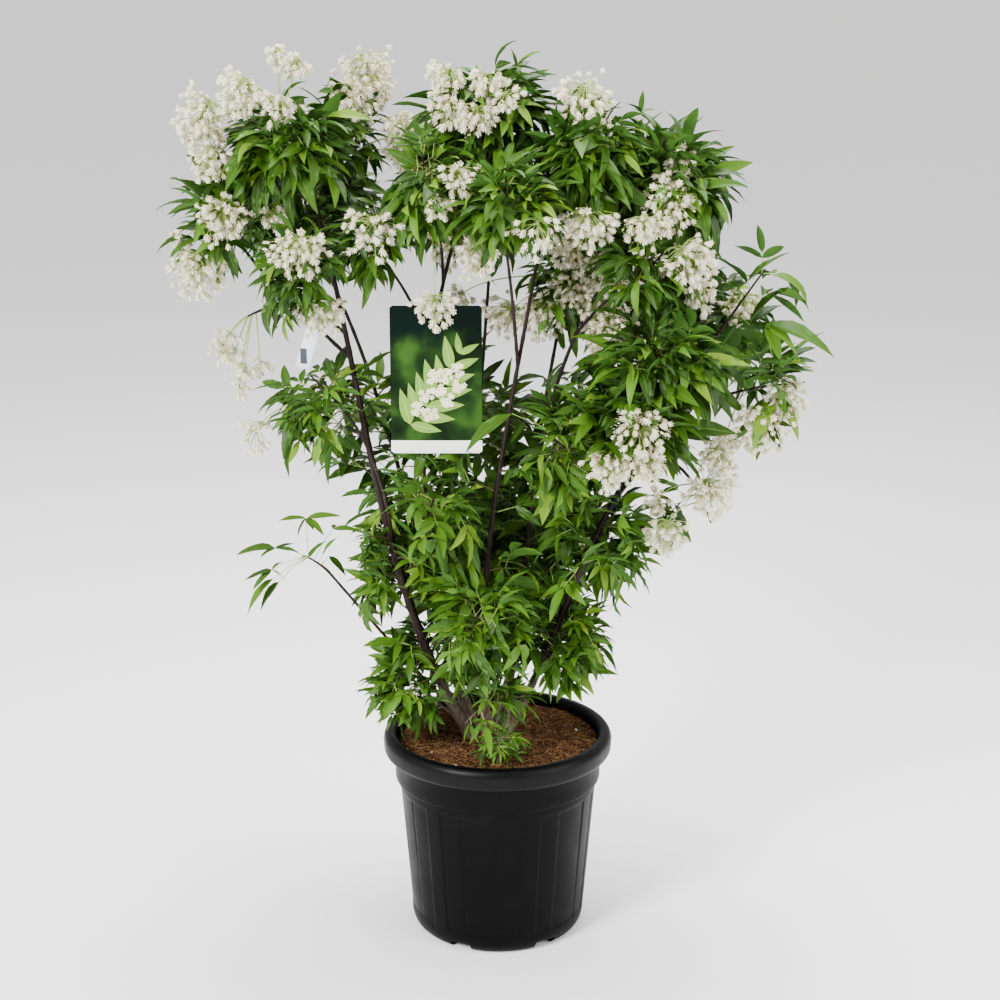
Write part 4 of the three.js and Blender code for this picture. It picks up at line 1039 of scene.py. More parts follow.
def blossom_arrays(name, leader, rng):
    """All panicles of a mass: stem paths, stalk paths, open flowers and buds with their axes."""
    centre, radii = ellipsoid_of(name)
    run = unit(leader[2] - leader[0])
    stems, stalks, flowers, flower_axes, buds, bud_axes = [], [], [], [], [], []
    for bearing in PANICLES[name]:
        if len(bearing) == 2:
            turn, rise = np.radians(bearing)
            level = np.cos(rise)
            out = np.array([level * np.cos(turn), level * np.sin(turn), np.sin(rise)])
            middle = centre + out * BLOOM_SHARE * reach_in(centre, radii, centre, out)
            size, full = BACK_SIZE, BACK_FULLNESS
        else:
            middle = np.array(bearing[:3], dtype=float)
            out = unit(middle - centre)
            size, full = bearing[3:]
        foot = bezier(leader, np.clip(0.62 + 0.34 * out @ run, 0.3, 0.98))[0]
        length = BLOOM_LENGTH * size * rng.uniform(0.9, 1.12)
        spread = BLOOM_SPREAD * size * rng.uniform(0.9, 1.1)
        count = int(FLOWERS * size * full)
        stem, stalk, axes = panicle(foot, out, middle, length, spread, count, rng)
        stems.append(stem)
        stalks.append(stalk)
        closed = rng.random(count) < BUD_SHARE
        flowers.append(stalk[~closed, -1])
        flower_axes.append(axes[~closed])
        buds.append(stalk[closed, -1])
        bud_axes.append(axes[closed])
    ragged = (stalks, flowers, flower_axes, buds, bud_axes)
    return [np.stack(stems), *map(np.concatenate, ragged)]


# %% [markdown]
# ## Setting the masses down
#
# The masses are joined by region, and each kind apart: leaves, twigs and blossom. A piece then
# stays under 200,000 triangles, and the solids of its region's masses are hidden.

# %% Twig materials
def bark_material(name, pale, dark, foot_pale, roughness, scale):
    """Thin bark: dark skin with paler corky flecks, and greyer towards the soil by object height."""
    material, tree, shader, place = start_textured(name, Roughness=roughness, Specular_IOR_Level=0.2)
    stretch = add(tree, "ShaderNodeMapping", {"Scale": (1.0, 1.0, 0.22)}, {"Vector": place})
    grain = noise(tree, stretch.outputs["Vector"], scale, 4.0, Roughness=0.65)
    skin = ramp(tree, grain, [(0.36, dark), (0.58, dark), (0.7, pale)])
    old = ramp(tree, grain, [(0.36, "#54483b"), (0.6, foot_pale), (0.75, "#a89b84")])
    height = map_range(tree, split(tree, place)["Z"], 0.32, 0.44)
    tree.links.new(mix(tree, height, old, skin), shader.inputs["Base Color"])
    relief(tree, shader, grain, 0.5, 0.0012)
    return material


BARK = bark_material("bark_dark_red_brown", "#4a342a", "#1c100d", "#7a6b58", 0.55, 420.0)
SHOOT_BARK = bark_material("shoot_bark_brown_green", "#63663a", "#464526", "#6d6252", 0.6, 500.0)
STALK = skin_material("leaf_stalk_green", "#7f9a45", 0.55)


# %% Leaves, twigs and blossom by region
LEADER_RADII, SHOOT_RADII, STALK_RADII = (2.4, 1.3), (1.5, 0.8), (0.75, 0.5)
BLOOM_STEM_RADII, BLOOM_STALK_RADII = (1.3, 0.7), (0.55, 0.4)


def tapered(paths, start, end, sides):
    """Rods along paths (count, rows, 3) whose radii fall evenly from start to end."""
    count, rows = paths.shape[:2]
    return tubes(paths, np.broadcast_to(np.linspace(start, end, rows), (count, rows)), sides)


def grow(region, names, seed):
    """Grows every mass of a region and joins its leaves, its twigs and its blossom."""
    rng = np.random.default_rng(seed)
    leaders = [leader_of(name) for name in names]
    grown, shoots, blossoms = [], [], []
    for name, leader in zip(names, leaders):
        if name not in SPRAY_ONLY:
            shoots.append(shoots_of(name, leader, rng))
            places = leaf_places(name, leader, shoots[-1], rng)
            grown.append(compound_leaves(name, *places, rng))
        if name in SPRAYS:
            grown.append(single_sprays(name, leader, rng))
        if name in PANICLES:
            blossoms.append(blossom_arrays(name, leader, rng))
    if region in STEM_SHOOT_HEIGHTS:
        shoots.append(stem_shoots(region, rng))
        places = shoot_leaves(shoots[-1], STEM_LEAF, rng)
        grown.append(compound_leaves(names[0], *places, rng))
    nodes = [f"foliage_{name}" for name in names]
    fields = [np.concatenate([leaves[0][k] for leaves in grown]) for k in range(8)]
    tint, stalks = (np.concatenate([leaves[k] for leaves in grown]) for k in (1, 2))
    vertices, walls, caps, kinds = leaflets(*fields, LEAFLET_ROWS[region])
    kind = np.tile(kinds, (len(tint), 1))
    shown = np.where(kind == 0, tint[:, None], np.where(kind == 1, 4, 5))
    leaves = mesh_piece(f"leaves_{region}", vertices, [walls, caps], LEAF_TINTS + [LEAF_RIB, LEAF_UNDER],
                        [shown.ravel(), np.repeat(tint, 2)], sharp=50)
    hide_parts(*nodes)

    curve = np.linspace(0, 1, 7)
    leader_paths = np.stack([bezier(v, curve) for v in leaders])
    shoots = np.concatenate(shoots)
    shoot_paths = np.stack([along_shoots(shoots, t)[0] for t in np.linspace(0, 1, 5)], axis=1)
    rods = [
        tapered(leader_paths, *LEADER_RADII, sides=8),
        tapered(shoot_paths, *SHOOT_RADII, sides=5),
        tapered(stalks, *STALK_RADII, sides=3),
    ]
    vertices, faces, kinds = join(rods, range(3))
    twigs = mesh_piece(f"twigs_{region}", vertices, faces, [BARK, SHOOT_BARK, STALK], kinds,
                       sharp=60)
    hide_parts(*nodes)
    if blossoms:
        blossom_piece(region, blossoms, nodes, rng)


def blossom_piece(region, blossoms, nodes, rng):
    """Joins the panicles of a region: stems, stalks, petals, sepals and buds."""
    kept = [np.concatenate(arrays) for arrays in zip(*blossoms)]
    stems, stalks, flowers, axes, buds, bud_axes = kept
    frames = frames_along(axes, rng)
    size = rng.uniform(0.62, 0.98, len(flowers))
    parts = [
        tapered(stems, *BLOOM_STEM_RADII, sides=5),
        tapered(stalks, *BLOOM_STALK_RADII, sides=3),
        scatter(*PETALS, flowers, frames, size),
        scatter(*SEPALS, flowers, frames, size),
        scatter(*BUD, buds, frames_along(bud_axes, rng), rng.uniform(0.62, 0.95, len(buds))),
    ]
    vertices, faces, kinds = join(parts, (3, 3, 0, 1, 2))
    piece = mesh_piece(f"blossom_{region}", vertices, faces, [PETAL, SEPAL, BUD_SKIN, STALK_SKIN], kinds,
                       sharp=35)
    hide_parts(*nodes)


for seed, (region, names) in enumerate(REGIONS.items()):
    grow(region, names, 20 + seed)

# %% [markdown]
# ## Bark of stems and boughs
#
# A stem could be a plain tapered tube with a bark image. Here the bark is in the mesh: around the
# foot it is cracked lengthwise and greyish, higher up it is smooth and dark red-brown with a slight
# swelling at every pair of buds, about 55 mm apart.

# %% Stems and boughs
CRACK_DEPTH, CRACK_HEIGHT = 0.09, 90
BUD_STEP = 55


def limb_mesh(name, rows, sides):
    """r(t, a) = limb radius * (0.97 - cracks near the foot + swellings at the nodes + lumps)."""
    points = limbs[name][0]
    t = np.linspace(0, 1, rows)
    centre = bezier(points, t)
    rise = centre[:, 2] - centre[0, 2]
    is_stem = name in STEMS
    radius = limb_radius(name, t, rise if is_stem else None)
    step = np.linalg.norm(np.diff(centre, axis=0), axis=1)
    run = np.concatenate([[0], np.cumsum(step)])
    angle = 2 * np.pi * np.arange(sides) / sides
    seed = points[0, 0]
    cracks = np.abs(np.sin(angle * 3.5 + 0.05 * run[:, None] + np.sin(run[:, None] * 0.11 + seed)))
    cracks = cracks * np.exp(-rise / CRACK_HEIGHT)[:, None] * CRACK_DEPTH
    swell = 0.10 * np.exp(-((run % BUD_STEP - 27) / 4.5) ** 2)[:, None]
    lumps = 0.035 * np.sin(run[:, None] * 0.23 + 2 * angle + seed)
    profile = radius[:, None] * (0.97 - cracks + (swell if is_stem else 0.6 * swell) + lumps)
    vertices, walls, caps = tubes(centre[None], np.ones((1, rows)), sides)
    ring = vertices.reshape(rows, sides, 3) - centre[:, None]
    return (centre[:, None] + ring * profile[..., None]).reshape(-1, 3), walls, caps


def dress_limbs(piece_name, names, rows, sides):
    """All limbs of one kind as one piece that replaces their solids."""
    vertices, faces, kinds = join([limb_mesh(name, rows, sides) for name in names], [0] * len(names))
    piece = mesh_piece(piece_name, vertices, faces, [BARK], kinds, sharp=60)
    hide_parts(*names)


dress_limbs("bark_stems", list(STEMS), 150, 20)
dress_limbs("bark_boughs", list(BOUGHS), 40, 12)

# %% [markdown]
# ## The pot
#
# A nursery pot is injection-moulded from black recycled plastic: satin, a little waxy, with a thick
# rolled rim, a collar, and six shallow panels with square tops round its tapering body. A turned
# profile alone would miss the panels and the drain notches, so the surface is a function of both
# the profile and the angle.

# %% Pot profile
RIM_EQUATOR, RIM_FOOT = 290.0, 274.0
COLLAR_FOOT, COLLAR_RADIUS, BODY_TOP_RADIUS = 234.0, 153.0, 147.5
BODY_LOW_RADIUS, BODY_LOW, FOOT_RADIUS, CHANNEL = 130.0, 25.0, 118.0, 13.0
PANEL_TOP, PANEL_FOOT = 222.0, 34.0
DIMPLE_ANGLE, DIMPLE_HEIGHT, DIMPLE_DEPTH = 6.0, 112.0, 1.6
WALL_ROWS = slice(17, 86)
NOTCH_ANGLE, NOTCH_HALF_WIDTH = 34, 15.5


def ellipse(centre, radii, start, end, steps):
    """Points of an elliptical arc from start to end degrees."""
    a = np.radians(np.linspace(start, end, steps))
    return np.stack([centre[0] + radii[0] * np.cos(a), centre[1] + radii[1] * np.sin(a)], -1)


def pot_profile():
    """Radius and height along the pot's section, from the middle of its underside to its inside."""
    wall = np.linspace([BODY_LOW_RADIUS, BODY_LOW], [BODY_TOP_RADIUS, COLLAR_FOOT], 70)[1:-1]
    return np.concatenate([
        [[0, 0.4], [86, 0.4], [88, 0.6], [92, CHANNEL], [103, CHANNEL], [106, 1.0], [107, 0.2], [117, 0.2]],
        ellipse((116.5, BODY_LOW), (BODY_LOW_RADIUS - 116.5, BODY_LOW - 1), -75, 0, 9),
        wall,
        [[BODY_TOP_RADIUS, COLLAR_FOOT - 0.6], [COLLAR_RADIUS - 1.6, COLLAR_FOOT + 0.6]],
        [[COLLAR_RADIUS - 0.5, COLLAR_FOOT + 1.6], [COLLAR_RADIUS, COLLAR_FOOT + 4]],
        [[COLLAR_RADIUS, COLLAR_FOOT + 14], [COLLAR_RADIUS + 0.2, RIM_FOOT - 6]],
        [[COLLAR_RADIUS + 1.5, RIM_FOOT - 2.5]],
        ellipse((161, RIM_EQUATOR - 6), (8.6, RIM_EQUATOR - 6 - RIM_FOOT), -82, 0, 9),
        ellipse((159.5, RIM_EQUATOR + 4), (10.5, RIM_TOP - RIM_EQUATOR - 4), 4, 90, 15),
        [[155, RIM_TOP - 0.4], [152.6, RIM_TOP - 3], [151, RIM_TOP - 9], [150.5, RIM_FOOT]],
        [[144.8, COLLAR_FOOT], [128, 18], [89, 16.6], [84, 3.6], [0, 3.5]],
    ])


def smooth_step(x, low, high):
    """0 below low, 1 above high, 3s^2 - 2s^3 between."""
    s = np.clip((x - low) / (high - low), 0, 1)
    return s * s * (3 - 2 * s)


def plateau(x, low, rise_end, fall_start, high):
    """0 outside low to high, 1 between the two inner values, smooth steps between."""
    return smooth_step(x, low, rise_end) * (1 - smooth_step(x, fall_start, high))


def panel_depth(angle, height):
    """Depth of the panels in mm: every 60 degrees a recess with a step and one deep groove."""
    local = (angle + 35) % 60
    recess = plateau(local, 0, 0.9, 49.1, 50)
    step = plateau(local, 13.0, 13.8, 33.4, 34.2)
    groove = plateau(local, 33.9, 34.5, 35.7, 36.3)
    tall = plateau(height, PANEL_FOOT - 8, PANEL_FOOT, PANEL_TOP - 2, PANEL_TOP)
    return tall * (1.2 * recess + 0.8 * step + 1.6 * groove)


def pot_mesh():
    """Corner (i, j): the profile's point i turned to angle j; notches lift the foot ring's edge.

    Panels and the round dimple, exp(-(d^2 / 22)^2) deep at d mm from its middle, are cut from the
    rows of the body's wall.
    """
    profile = pot_profile()
    notch = np.degrees(NOTCH_HALF_WIDTH / FOOT_RADIUS)
    middles = NOTCH_ANGLE + 60 * np.arange(6)
    edges = np.concatenate([middles - notch, middles + notch])
    angle = np.concatenate([np.arange(0, 360, 0.9), edges - 0.12, edges + 0.12]) % 360
    angle = np.unique(np.round(angle, 3))
    radius = np.broadcast_to(profile[:, :1], (len(profile), len(angle))).copy()
    height = np.broadcast_to(profile[:, 1:], (len(profile), len(angle))).copy()
    depth = panel_depth(angle[None], height)
    across = ((angle[None] - DIMPLE_ANGLE + 180) % 360 - 180) * np.pi / 180 * radius
    far = (across ** 2 + (height - DIMPLE_HEIGHT) ** 2) / 22
    depth = depth + DIMPLE_DEPTH * np.exp(-far ** 2)
    radius[WALL_ROWS] -= depth[WALL_ROWS]
    in_notch = np.abs((angle - NOTCH_ANGLE + 30) % 60 - 30) < notch
    foot = (profile[:, 0] > 104) & (profile[:, 1] < CHANNEL) & (np.arange(len(profile)) < 20)
    lift = foot[:, None] & in_notch[None]
    height = np.where(lift, CHANNEL - 0.5, height)
    a = np.radians(angle - 90)[None]
    vertices = np.stack([radius * np.cos(a), radius * np.sin(a), height], -1)
    return closed_rings(vertices[1:-1], [[0, 0, profile[0, 1]], [0, 0, profile[-1, 1]]])


# %% Pot plastic
def pot_plastic():
    """Black polypropylene: satin moulded skin, streaks of dust and dry soil smears, and scratches."""
    material, tree, shader, place = start_textured("moulded_black_plastic", IOR=1.49)
    cloud = noise(tree, place, 9.0, 5.0, Roughness=0.6)
    streak = add(tree, "ShaderNodeMapping", {"Scale": (30.0, 30.0, 2.5)}, {"Vector": place})
    scratch = noise(tree, streak.outputs["Vector"], 4.0, 6.0, Roughness=0.7)
    base = ramp(tree, cloud, [(0.35, "#020203"), (0.62, "#040405"), (0.74, "#0b0a08")])
    dust = ramp(tree, scratch, [(0.64, "#000000"), (0.80, "#2a2620")])
    tree.links.new(mix(tree, 0.5, base, dust, blend_type="ADD"), shader.inputs["Base Color"])
    tree.links.new(map_range(tree, cloud, 0.3, 0.7, To_Min=0.34, To_Max=0.55), shader.inputs["Roughness"])
    sheen = map_range(tree, split(tree, place)["Z"], 0.27, 0.276, To_Min=0.06, To_Max=0.115)
    tree.links.new(sheen, shader.inputs["Specular IOR Level"])
    relief(tree, shader, noise(tree, place, 900.0, 2.0), 0.12, 0.0004)
    return material


vertices, *skins = pot_mesh()
pot = mesh_piece("pot_moulded", vertices, skins, [pot_plastic()], None, sharp=40)
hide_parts("pot")

# %% [markdown]
# ## Soil
#
# The filling is fibrous peat with coir: a lumpy brown surface with thousands of short fibres, chips
# of bark and a few pale pebbles. The lumps are a height field; fibres and chips are small
# templates scattered on it, since a bump map would look flat so near the rim's bright edge.

# %% Soil
SOIL_FOOT, SOIL_RADIUS = 225.0, 149.6
LUMPS = ((0.045, 1.6), (0.11, 1.1), (0.23, 0.7), (0.52, 0.45))
FIBRES, CHIPS = 2600, 700
STONES = np.array([[-128, -58], [-120, -70], [-134, -40], [-112, -84], [-96, -62], [92, -98], [118, 30],
                   [-60, -112], [40, -120], [-30, 118]], dtype=float)


def soil_height(x, y):
    """Lumps from four crossed waves; the surface falls 5 mm towards the wall."""
    r = np.hypot(x, y)
    z = SOIL_TOP - 2.5 - 5 * np.clip((r - 108) / 42, 0, 1)
    for k, (wave, high) in enumerate(LUMPS):
        turn = 1.1 * k
        z = z + high * np.sin(wave * (x * np.cos(turn) + y * np.sin(turn)) + 2 * k) \
            * np.sin(wave * 1.13 * (y * np.cos(turn) - x * np.sin(turn)) + k)
    return z


def soil_material(name, stops, scale):
    """Damp peat: mottled browns at about 3 mm, matt, with painted shade: the ramp's dark end lies in the
    hollows of the same noise's bump.
    """
    material, tree, shader, place = start_textured(name, Roughness=0.95, Specular_IOR_Level=0.1)
    mottle_and_hollow_shade = noise(tree, place, scale, 6.0, Roughness=0.75)
    # The ramp's dark end falls where the bump is low: painted shade in the hollows, over the soil's own
    # mottle.
    tree.links.new(ramp(tree, mottle_and_hollow_shade, stops), shader.inputs["Base Color"])
    relief(tree, shader, mottle_and_hollow_shade, 0.9, 0.002)
    return material


# The near-black first stop is painted shade in the peat's hollows; the browns are the peat's own mottle.
PEAT = soil_material("fibrous_peat", [(0.34, "#100904"), (0.5, "#352012"), (0.68, "#644529")], 260.0)
FIBRE = soil_material("coir_fibre", [(0.3, "#462b18"), (0.7, "#8a6742")], 120.0)
CHIP = soil_material("bark_chip", [(0.3, "#2b190d"), (0.7, "#664529")], 150.0)
PEBBLE = soil_material("pale_pebble", [(0.3, "#b9b2a4"), (0.7, "#e6e2d8")], 90.0)


def soil_piece():
    """A disc of rings over a flat underside; the poles are closed by fans."""
    rng = np.random.default_rng(5)
    ring = 180
    radii = np.linspace(2, SOIL_RADIUS, 74)
    a = 2 * np.pi * np.arange(ring) / ring
    r, a = np.meshgrid(radii, a, indexing="ij")
    x, y = r * np.cos(a), r * np.sin(a)
    z = soil_height(x, y) + rng.normal(0, 0.45, x.shape)
    top = np.stack([x, y, z], -1)[::-1]
    skirt = np.stack([x[-1], y[-1], np.full(ring, SOIL_FOOT)], -1)[None]
    base = np.stack([x[0], y[0], np.full(ring, SOIL_FOOT)], -1)[None]
    rows = np.concatenate([base, skirt * [0.97, 0.97, 1], top])
    vertices, *skins = closed_rings(rows, [[0, 0, SOIL_FOOT], [0, 0, soil_height(0.0, 0.0)]])
    piece = mesh_piece("soil_surface", vertices, skins, [PEAT], None)
    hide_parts("soil")


def strewn(count, reach, rng):
    """X and Y of points spread evenly over a disc."""
    r = reach * np.sqrt(rng.random(count))
    a = rng.uniform(0, 2 * np.pi, count)
    return r * np.cos(a), r * np.sin(a)


def soil_litter():
    """Fibres are bent rods, chips are flattened drops, and pebbles are rounder ones."""
    rng = np.random.default_rng(6)
    x, y = strewn(FIBRES, 147, rng)
    turn = rng.uniform(0, 2 * np.pi, FIBRES)
    long = rng.uniform(4, 17, FIBRES)
    share = np.linspace(-0.5, 0.5, 4)
    bend = rng.normal(0, 0.25, FIBRES)[:, None] * (share ** 2) * long[:, None]
    px = x[:, None] + share * (long * np.cos(turn))[:, None] - bend * np.sin(turn)[:, None]
    py = y[:, None] + share * (long * np.sin(turn))[:, None] + bend * np.cos(turn)[:, None]
    pull = np.minimum(1, 148.5 / np.hypot(px, py))
    px, py = px * pull, py * pull
    pz = soil_height(px, py) + rng.uniform(0.2, 2.6, FIBRES)[:, None] + rng.normal(0, 0.5, px.shape)
    fibres = tubes(np.stack([px, py, pz], -1), rng.uniform(0.25, 0.7, FIBRES)[:, None] * np.ones(4), 3)
    x, y = strewn(CHIPS, 144, rng)
    at = np.stack([x, y, soil_height(x, y) - 0.4], -1)
    frames = frames_along(rng.normal(0, 1, (CHIPS, 3)) * [1, 1, 0.35], rng)
    drop, drop_faces = BUD[0] - [0, 0, 3.2], BUD[1]
    chip = scatter(drop * [1.0, 0.45, 1.2], drop_faces, at, frames, rng.uniform(0.5, 1.5, CHIPS))
    at = np.c_[STONES, soil_height(STONES[:, 0], STONES[:, 1]) + 0.6]
    stone = scatter(drop * [1.3, 1.1, 0.8], drop_faces, at,
                    frames_along(rng.normal(0, 1, (len(at), 3)), rng), rng.uniform(0.6, 1.3, len(at)))
    vertices, faces, kinds = join([fibres, chip, stone], range(3))
    piece = mesh_piece("soil_litter", vertices, faces, [FIBRE, CHIP, PEBBLE], kinds,
                       sharp=60)
    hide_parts("soil")


soil_piece()
soil_litter()

# %% [markdown]
# ## Label card, tie and paper strip
#
# The card is a glossy printed plastic sheet that hangs by a soft tie. Its print is a generic one of
# our own: dark green at the top, a leafy ground below, a branch with pairs of leaves and bunches of
# small cream flowers, and a bare white strip at the foot. Leaves and flowers of the print are thin
# shapes laid on the card.

# %% Card
CARD_CENTRE = np.array([-84.0, -88.0, 852.0])
CARD_SIZE = np.array([126.0, 206.0])
CARD_THICKNESS, CARD_CORNER, SLOT_DROP = 0.8, 4.0, 14.0


def rounded_card():
    """A rounded rectangle with a slot, as a thin closed sheet, bowed by 1.1 (1 - (x / w)^2) mm."""
    w, h = CARD_SIZE / 2
    x = np.linspace(-w, w, 43)
    z = np.linspace(-h, h, 71)
    gx, gz = np.meshgrid(x, z, indexing="ij")
    inset = np.maximum(np.abs(gz) - (h - CARD_CORNER), 0)
    limit = w - CARD_CORNER + np.sqrt(np.maximum(CARD_CORNER ** 2 - inset ** 2, 0))
    gx = gx * limit / w
    bow = 1.1 * (1 - (gx / w) ** 2) - 0.5
    front = np.stack([CARD_CENTRE[0] + gx, CARD_CENTRE[1] - 0.4 - bow, CARD_CENTRE[2] + gz], -1)
    back = front + [0, CARD_THICKNESS, 0]
    nx, nz = gx.shape
    i, k = np.meshgrid(np.arange(nx - 1), np.arange(nz - 1), indexing="ij")
    a = i * nz + k
    quad = np.stack([a, a + nz, a + nz + 1, a + 1], -1).reshape(-1, 4)
    middle = front.reshape(-1, 3)[quad].mean(1) - CARD_CENTRE
    slot = (np.abs(middle[:, 0]) < 10) & (np.abs(middle[:, 2] - (h - SLOT_DROP)) < 3.2)
    quad = quad[~slot]
    edges = np.concatenate([quad[:, [0, 1]], quad[:, [1, 2]], quad[:, [2, 3]], quad[:, [3, 0]]])
    key = np.sort(edges, 1)
    _, index, count = np.unique(key, axis=0, return_index=True, return_counts=True)
    rim = edges[index[count == 1]]
    total = nx * nz
    side = np.stack([rim[:, 1], rim[:, 0], rim[:, 0] + total, rim[:, 1] + total], -1)
    vertices = np.concatenate([front.reshape(-1, 3), back.reshape(-1, 3)])
    return vertices, [quad, quad[:, ::-1] + total, side]


def card_print():
    """Glossy printed plastic: bands by height, with soft green mottling like leaves out of focus."""
    sockets = {"Roughness": 0.34, "IOR": 1.5, "Specular_IOR_Level": 0.06}
    material, tree, shader, place = start_textured("printed_plastic_card", **sockets)
    height = split(tree, place)["Z"]
    blur = noise(tree, place, 22.0, 2.0)
    leafy = ramp(tree, blur, [(0.32, "#060f06"), (0.5, "#12270d"), (0.7, "#2f4f1a")])
    wave = math_node(tree, "MULTIPLY", blur, 0.05)
    fade = map_range(tree, math_node(tree, "SUBTRACT", height, wave), 0.872, 0.9)
    picture = mix(tree, fade, leafy, "#03110c")
    above_strip = math_node(tree, "GREATER_THAN", height, 0.767)
    tree.links.new(mix(tree, above_strip, "#f2f2ee", picture), shader.inputs["Base Color"])
    return material


BRANCH = ((-40, -66), (-6, -34), (34, 40))
BUNCHES = ((-26, -40), (-8, -48), (-14, -22), (4, -14), (16, -28), (12, 6), (28, 14), (-4, 4), (30, -8))
PRINT_ROOM = ((-59, 59), (-82, 66))


def print_shapes():
    """A printed branch with pairs of leaves from the lower left, and bunches of small flowers."""
    rng = np.random.default_rng(9)
    face = CARD_CENTRE + [0.0, -2.0, 0.0]
    share = np.repeat(np.linspace(0.06, 0.98, 7), 2)
    at = bezier(BRANCH, share)
    ahead = unit(bezier(BRANCH, share + 0.01) - at)
    sign = np.tile([1.0, -1.0], 7)
    angle = np.arctan2(ahead[:, 1], ahead[:, 0]) + sign * np.linspace(1.05, 0.6, 14)
    flat = np.stack([np.cos(angle), np.sin(angle)], -1)
    length = rng.uniform(40, 54, 14)
    for k, (low, high) in enumerate(PRINT_ROOM):
        edge = np.where(flat[:, k] > 0, high, low)
        length = np.minimum(length, (edge - at[:, k]) / flat[:, k])
    zero = np.zeros(14)
    heading = np.stack([flat[:, 0], zero, flat[:, 1]], -1)
    base = face + np.stack([at[:, 0], zero, at[:, 1]], -1)
    towards = np.array([0.0, -1.0, 0.0])
    blades = leaflets(base, heading, np.tile(towards, (14, 1)), length, length * 0.34,
                      zero + 0.03, zero + 0.01, zero, PRINT_ROWS, 0.25)
    middle = np.repeat(np.array(BUNCHES, dtype=float), 7, axis=0)
    turn = np.tile(np.arange(7) * np.pi / 3, len(BUNCHES)) + rng.uniform(0, 1, len(middle))
    away = np.where(np.arange(len(middle)) % 7 == 6, 0, rng.uniform(5.5, 9, len(middle)))
    spot = middle + away[:, None] * np.stack([np.cos(turn), np.sin(turn)], -1)
    spot = np.stack([spot[:, 0], np.full(len(spot), -0.6), spot[:, 1]], -1) + face
    petals, petal_faces = petal_ring(5, 0.3, (0.4, 0.0), (2.4, 0.1), (4.4, 0.0), 1.7, 0.12)
    frames = frames_along(np.tile(towards, (len(spot), 1)), rng)
    bloom = scatter(petals, petal_faces, spot, frames, rng.uniform(0.75, 1.1, len(spot)))
    return blades, bloom


vertices, faces = rounded_card()
card = mesh_piece("card_sheet", vertices, faces, [card_print()], None, sharp=40)
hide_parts("label_card")

blades, bloom = print_shapes()
PRINT_GREEN = skin_material("printed_leaf_green", "#6c9232", 0.4)
PRINT_RIB = skin_material("printed_rib_green", "#a9c46a", 0.4)
PRINT_WHITE = skin_material("printed_flower_cream", "#e9e2bf", 0.4)
kinds = np.tile(blades[3], len(blades[0]) // (PRINT_ROWS * 5))
card_art = mesh_piece(
    "card_print_shapes", np.concatenate([blades[0], bloom[0]]),
    [blades[1], blades[2], bloom[1] + len(blades[0])], [PRINT_GREEN, PRINT_RIB, PRINT_WHITE],
    [np.where(kinds == 1, 1, 0), np.zeros(len(blades[2])), np.full(len(bloom[1]), 2)],
    sharp=40,
)
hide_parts("label_card")


# %% Tie and strip
def spline(points, per_leg):
    """A Catmull-Rom curve through the points: the cubic through each pair with averaged tangents."""
    p = np.asarray(points, dtype=float)
    p = np.concatenate([[2 * p[0] - p[1]], p, [2 * p[-1] - p[-2]]])
    t = np.linspace(0, 1, per_leg, endpoint=False)[:, None]
    legs = []
    for a, b, c, d in zip(p[:-3], p[1:-2], p[2:-1], p[3:]):
        legs.append(0.5 * (2 * b + (c - a) * t + (2 * a - 5 * b + 4 * c - d) * t ** 2
                           + (3 * b - a - 3 * c + d) * t ** 3))
    return np.concatenate([*legs, p[-2:-1]])


TIE_PLASTIC = skin_material("soft_tie_plastic", "#6fae98", 0.45)


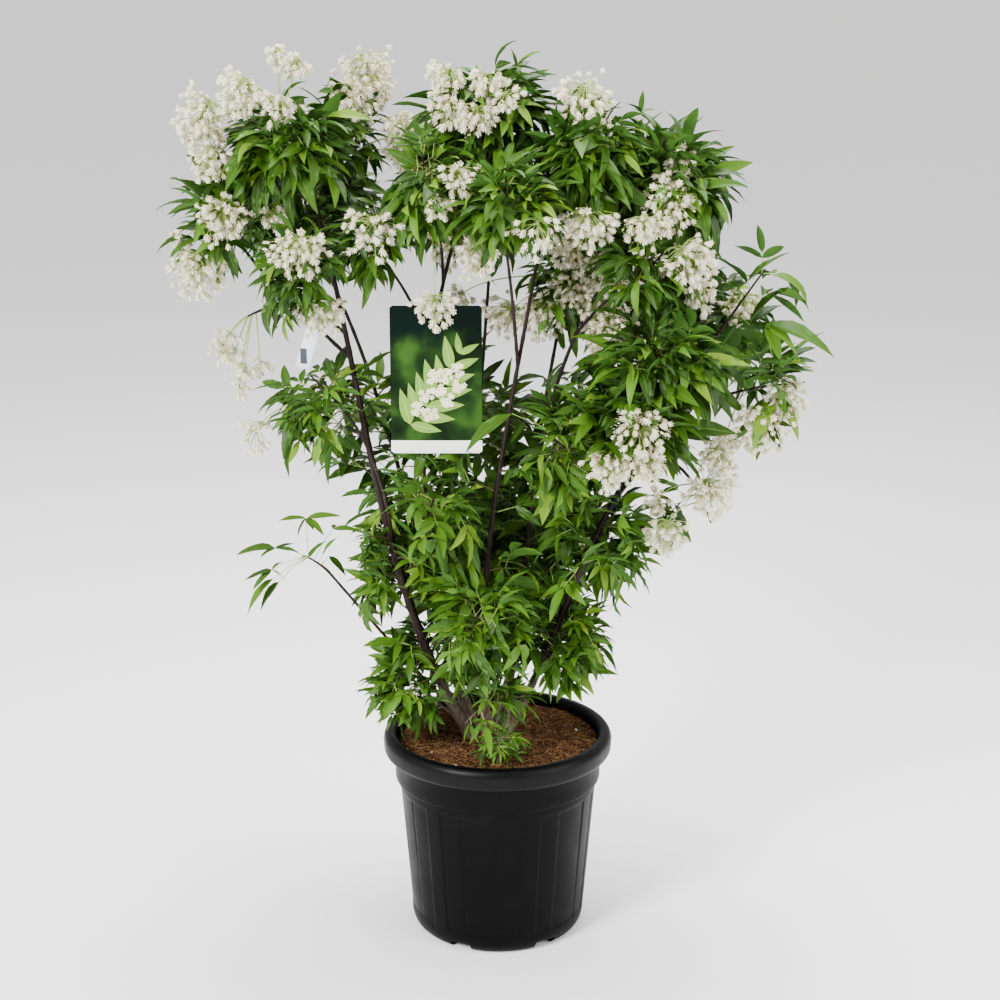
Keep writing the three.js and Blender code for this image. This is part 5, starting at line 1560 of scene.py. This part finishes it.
def tie_piece():
    """Pale soft plastic tie: a tail before the card, through the slot and round the stem."""
    slot_at = CARD_CENTRE + [0, 0, CARD_SIZE[1] / 2 - SLOT_DROP]
    stem = bezier(limbs["stem_inner_left"][0], 0.8)[0]
    out = float(limb_radius("stem_inner_left", 0.8)) + 1.5 + 1.05
    a = np.radians([205, 150, 90, 35, -20, -60])
    wrap = stem + out * np.stack([np.cos(a), np.sin(a), 0 * a], -1)
    front = slot_at + [0, -2.7, 0]
    behind = slot_at + [0, 4, 0]
    tail = [front + [0, 0, -24], front + [0, 0, -10], front + [0, 0.4, -3]]
    path = [*tail, (front + behind) / 2, behind, *wrap, behind + [2.5, 1.0, 1.0]]
    path = spline(path, 6)
    vertices, walls, caps = tubes(path[None], np.full((1, len(path)), 1.4), 8)
    tie = mesh_piece("tie_loop", vertices, [walls, caps], [TIE_PLASTIC], None, sharp=50)
    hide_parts("label_tie")


def paper_print():
    """Coated paper with one plain grey printed block near its lower end."""
    material, tree, shader, place = start_textured("coated_paper", Roughness=0.6, IOR=1.4)
    axes = split(tree, place)
    tall = math_node(tree, "COMPARE", axes["Z"], 0.872, 0.011)
    wide = math_node(tree, "COMPARE", axes["X"], -0.273, 0.005)
    block = math_node(tree, "MULTIPLY", tall, wide)
    tree.links.new(mix(tree, block, "#e2e5f1", "#3c4048"), shader.inputs["Base Color"])
    return material


PAPER = paper_print()


def strip_piece():
    """A paper band: it loops over the bough and its long end hangs down, a little curled."""
    points = limbs["bough_left_tassel"][0]
    at, ahead = bezier(points, [0.36, 0.38])
    along = unit(ahead - at)
    up = unit(UP - along * (UP @ along))
    front = np.cross(up, along)
    outer = float(limb_radius("bough_left_tassel", 0.36)) + 0.9
    a = np.linspace(-0.5 * np.pi, 1.5 * np.pi, 29)
    loop = np.stack([outer * np.cos(a), outer * np.sin(a)], -1)
    s = np.linspace(0, 1, 34)
    tail = np.stack([0.9 * np.sin(3 * s), -outer - 0.5 - 83 * s], -1)
    path = np.concatenate([loop, tail])
    w = np.linspace(-11, 11, 5)
    centre = at + path[:, :1] * front + path[:, 1:] * up
    tangent = unit(np.gradient(centre, axis=0))
    normal = np.cross(tangent, along)
    sheet = centre[:, None] + along * w[:, None]
    thick = 0.25 * normal[:, None]
    ring = np.concatenate([sheet + thick, (sheet - thick)[:, ::-1]], axis=1)
    size = ring.shape[1]
    cap = np.arange(size)[None]
    piece = mesh_piece("strip_band", ring.reshape(-1, 3),
                       [grid_faces(len(path), size), cap[:, ::-1], cap + (len(path) - 1) * size],
                       [PAPER], None, sharp=40)
    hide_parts("paper_strip")


tie_piece()
strip_piece()
